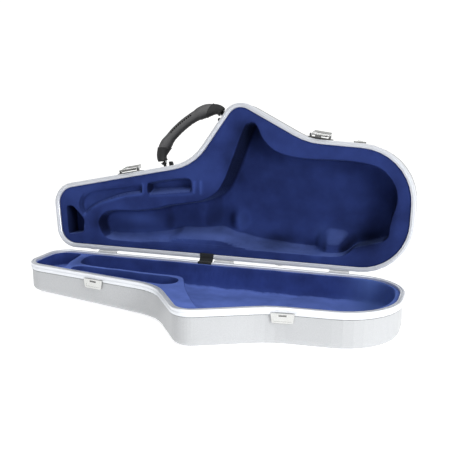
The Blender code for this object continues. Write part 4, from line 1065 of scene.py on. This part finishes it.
def make_rivets():
    """Domed rivet heads on each hinge leaf."""
    for owner, body, matrix, sign in (("lid", "lid", LID, -1), ("body", "case_body", BODY, 1)):
        for number in (1, 2, 3):
            low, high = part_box(f"lid_hinge_leaf_{number}")
            middle = (low[0] + high[0]) / 2 - corner_point.x
            parts = []
            for offset in RIVET_PLACES:
                centre = Vector((middle + offset, LEAF_FACE, sign * RIVET_LEVEL))
                parts.append([[matrix @ (centre + Vector((r * math.cos(a), h, r * math.sin(a))))
                               for a in turns(RIVET_SIDES)] for h, r in RIVET_PROFILE])
            made = outward(add_mesh(f"{owner}_hinge_rivets_{number}", *many_skins(parts), steel))
            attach(made, body)


make_rivets()


# Floor, surroundings and lamps

FLOOR_REACH = 90
FLOOR_LEVEL = -0.0004
FLOOR_GLOW = 0.58
WORLD_STRENGTH = 0.70
# The surroundings fade to a dark tone toward one side
DARK_SIDE = (-0.86, -0.50, 0.0)
DARK_FADE = (-0.05, 0.90)
DARK_TONE = (0.10, 0.10, 0.105)
# Lamps: name, place, what they light, diameter, power in watts
LAMPS = (("key", (1.45, -1.15, 0.62), (0.1, -0.1, 0.05), 0.8, 19),
         ("top", (-0.40, -0.65, 1.8), (0.0, 0.0, 0.12), 1.1, 9))


def make_floor():
    """Pale floor that glows a little."""
    paper = Shader("studio_paper", Roughness=0.9, Emission_Color=(1, 1, 1, 1), Emission_Strength=FLOOR_GLOW)
    grain = paper.noise(3.0, 2, 0.5)
    paper.set("Base Color", paper.mix(grain, (0.93, 0.93, 0.93), (0.95, 0.95, 0.95)))
    corners = [(x * FLOOR_REACH, y * FLOOR_REACH, FLOOR_LEVEL)
               for x, y in ((-1, -1), (1, -1), (1, 1), (-1, 1))]
    floor = add_mesh("studio_floor", corners, [(0, 1, 2, 3)], paper.material, smooth=False)


def make_world():
    """White surroundings that are darker at front left."""
    world = bpy.data.worlds.new("studio")
    bpy.context.scene.world = world
    world.use_nodes = True
    sky = Nodes(world.node_tree)
    toward = sky.node("VectorMath", [("operation", "DOT_PRODUCT")])
    heading = sky.node("TexCoord").outputs["Generated"]
    sky.feed(toward, {0: heading, 1: Vector(DARK_SIDE).normalized()})
    fade = sky.node("MapRange", [("interpolation_type", "SMOOTHSTEP")])
    sky.feed(fade, dict(enumerate((toward.outputs["Value"], *DARK_FADE, 0.0, 1.0))))
    colour = sky.mix(fade.outputs[0], (1.0, 1.0, 1.0), DARK_TONE)
    sky.feed(sky.tree.nodes["Background"], {"Color": colour, "Strength": WORLD_STRENGTH})


def make_lamps():
    """Two round soft lamps."""
    for name, place, aim, size, power in LAMPS:
        data = bpy.data.lights.new(name, "AREA")
        data.shape = "DISK"
        data.size = size
        data.energy = power
        lamp = bpy.data.objects.new(name, data)
        bpy.context.scene.collection.objects.link(lamp)
        lamp.location = place
        lamp.rotation_euler = (Vector(place) - Vector(aim)).to_track_quat("Z", "Y").to_euler()


make_floor()
make_world()
make_lamps()
bpy.context.scene.view_settings.view_transform = "Standard"
bpy.context.scene.view_settings.look = "None"
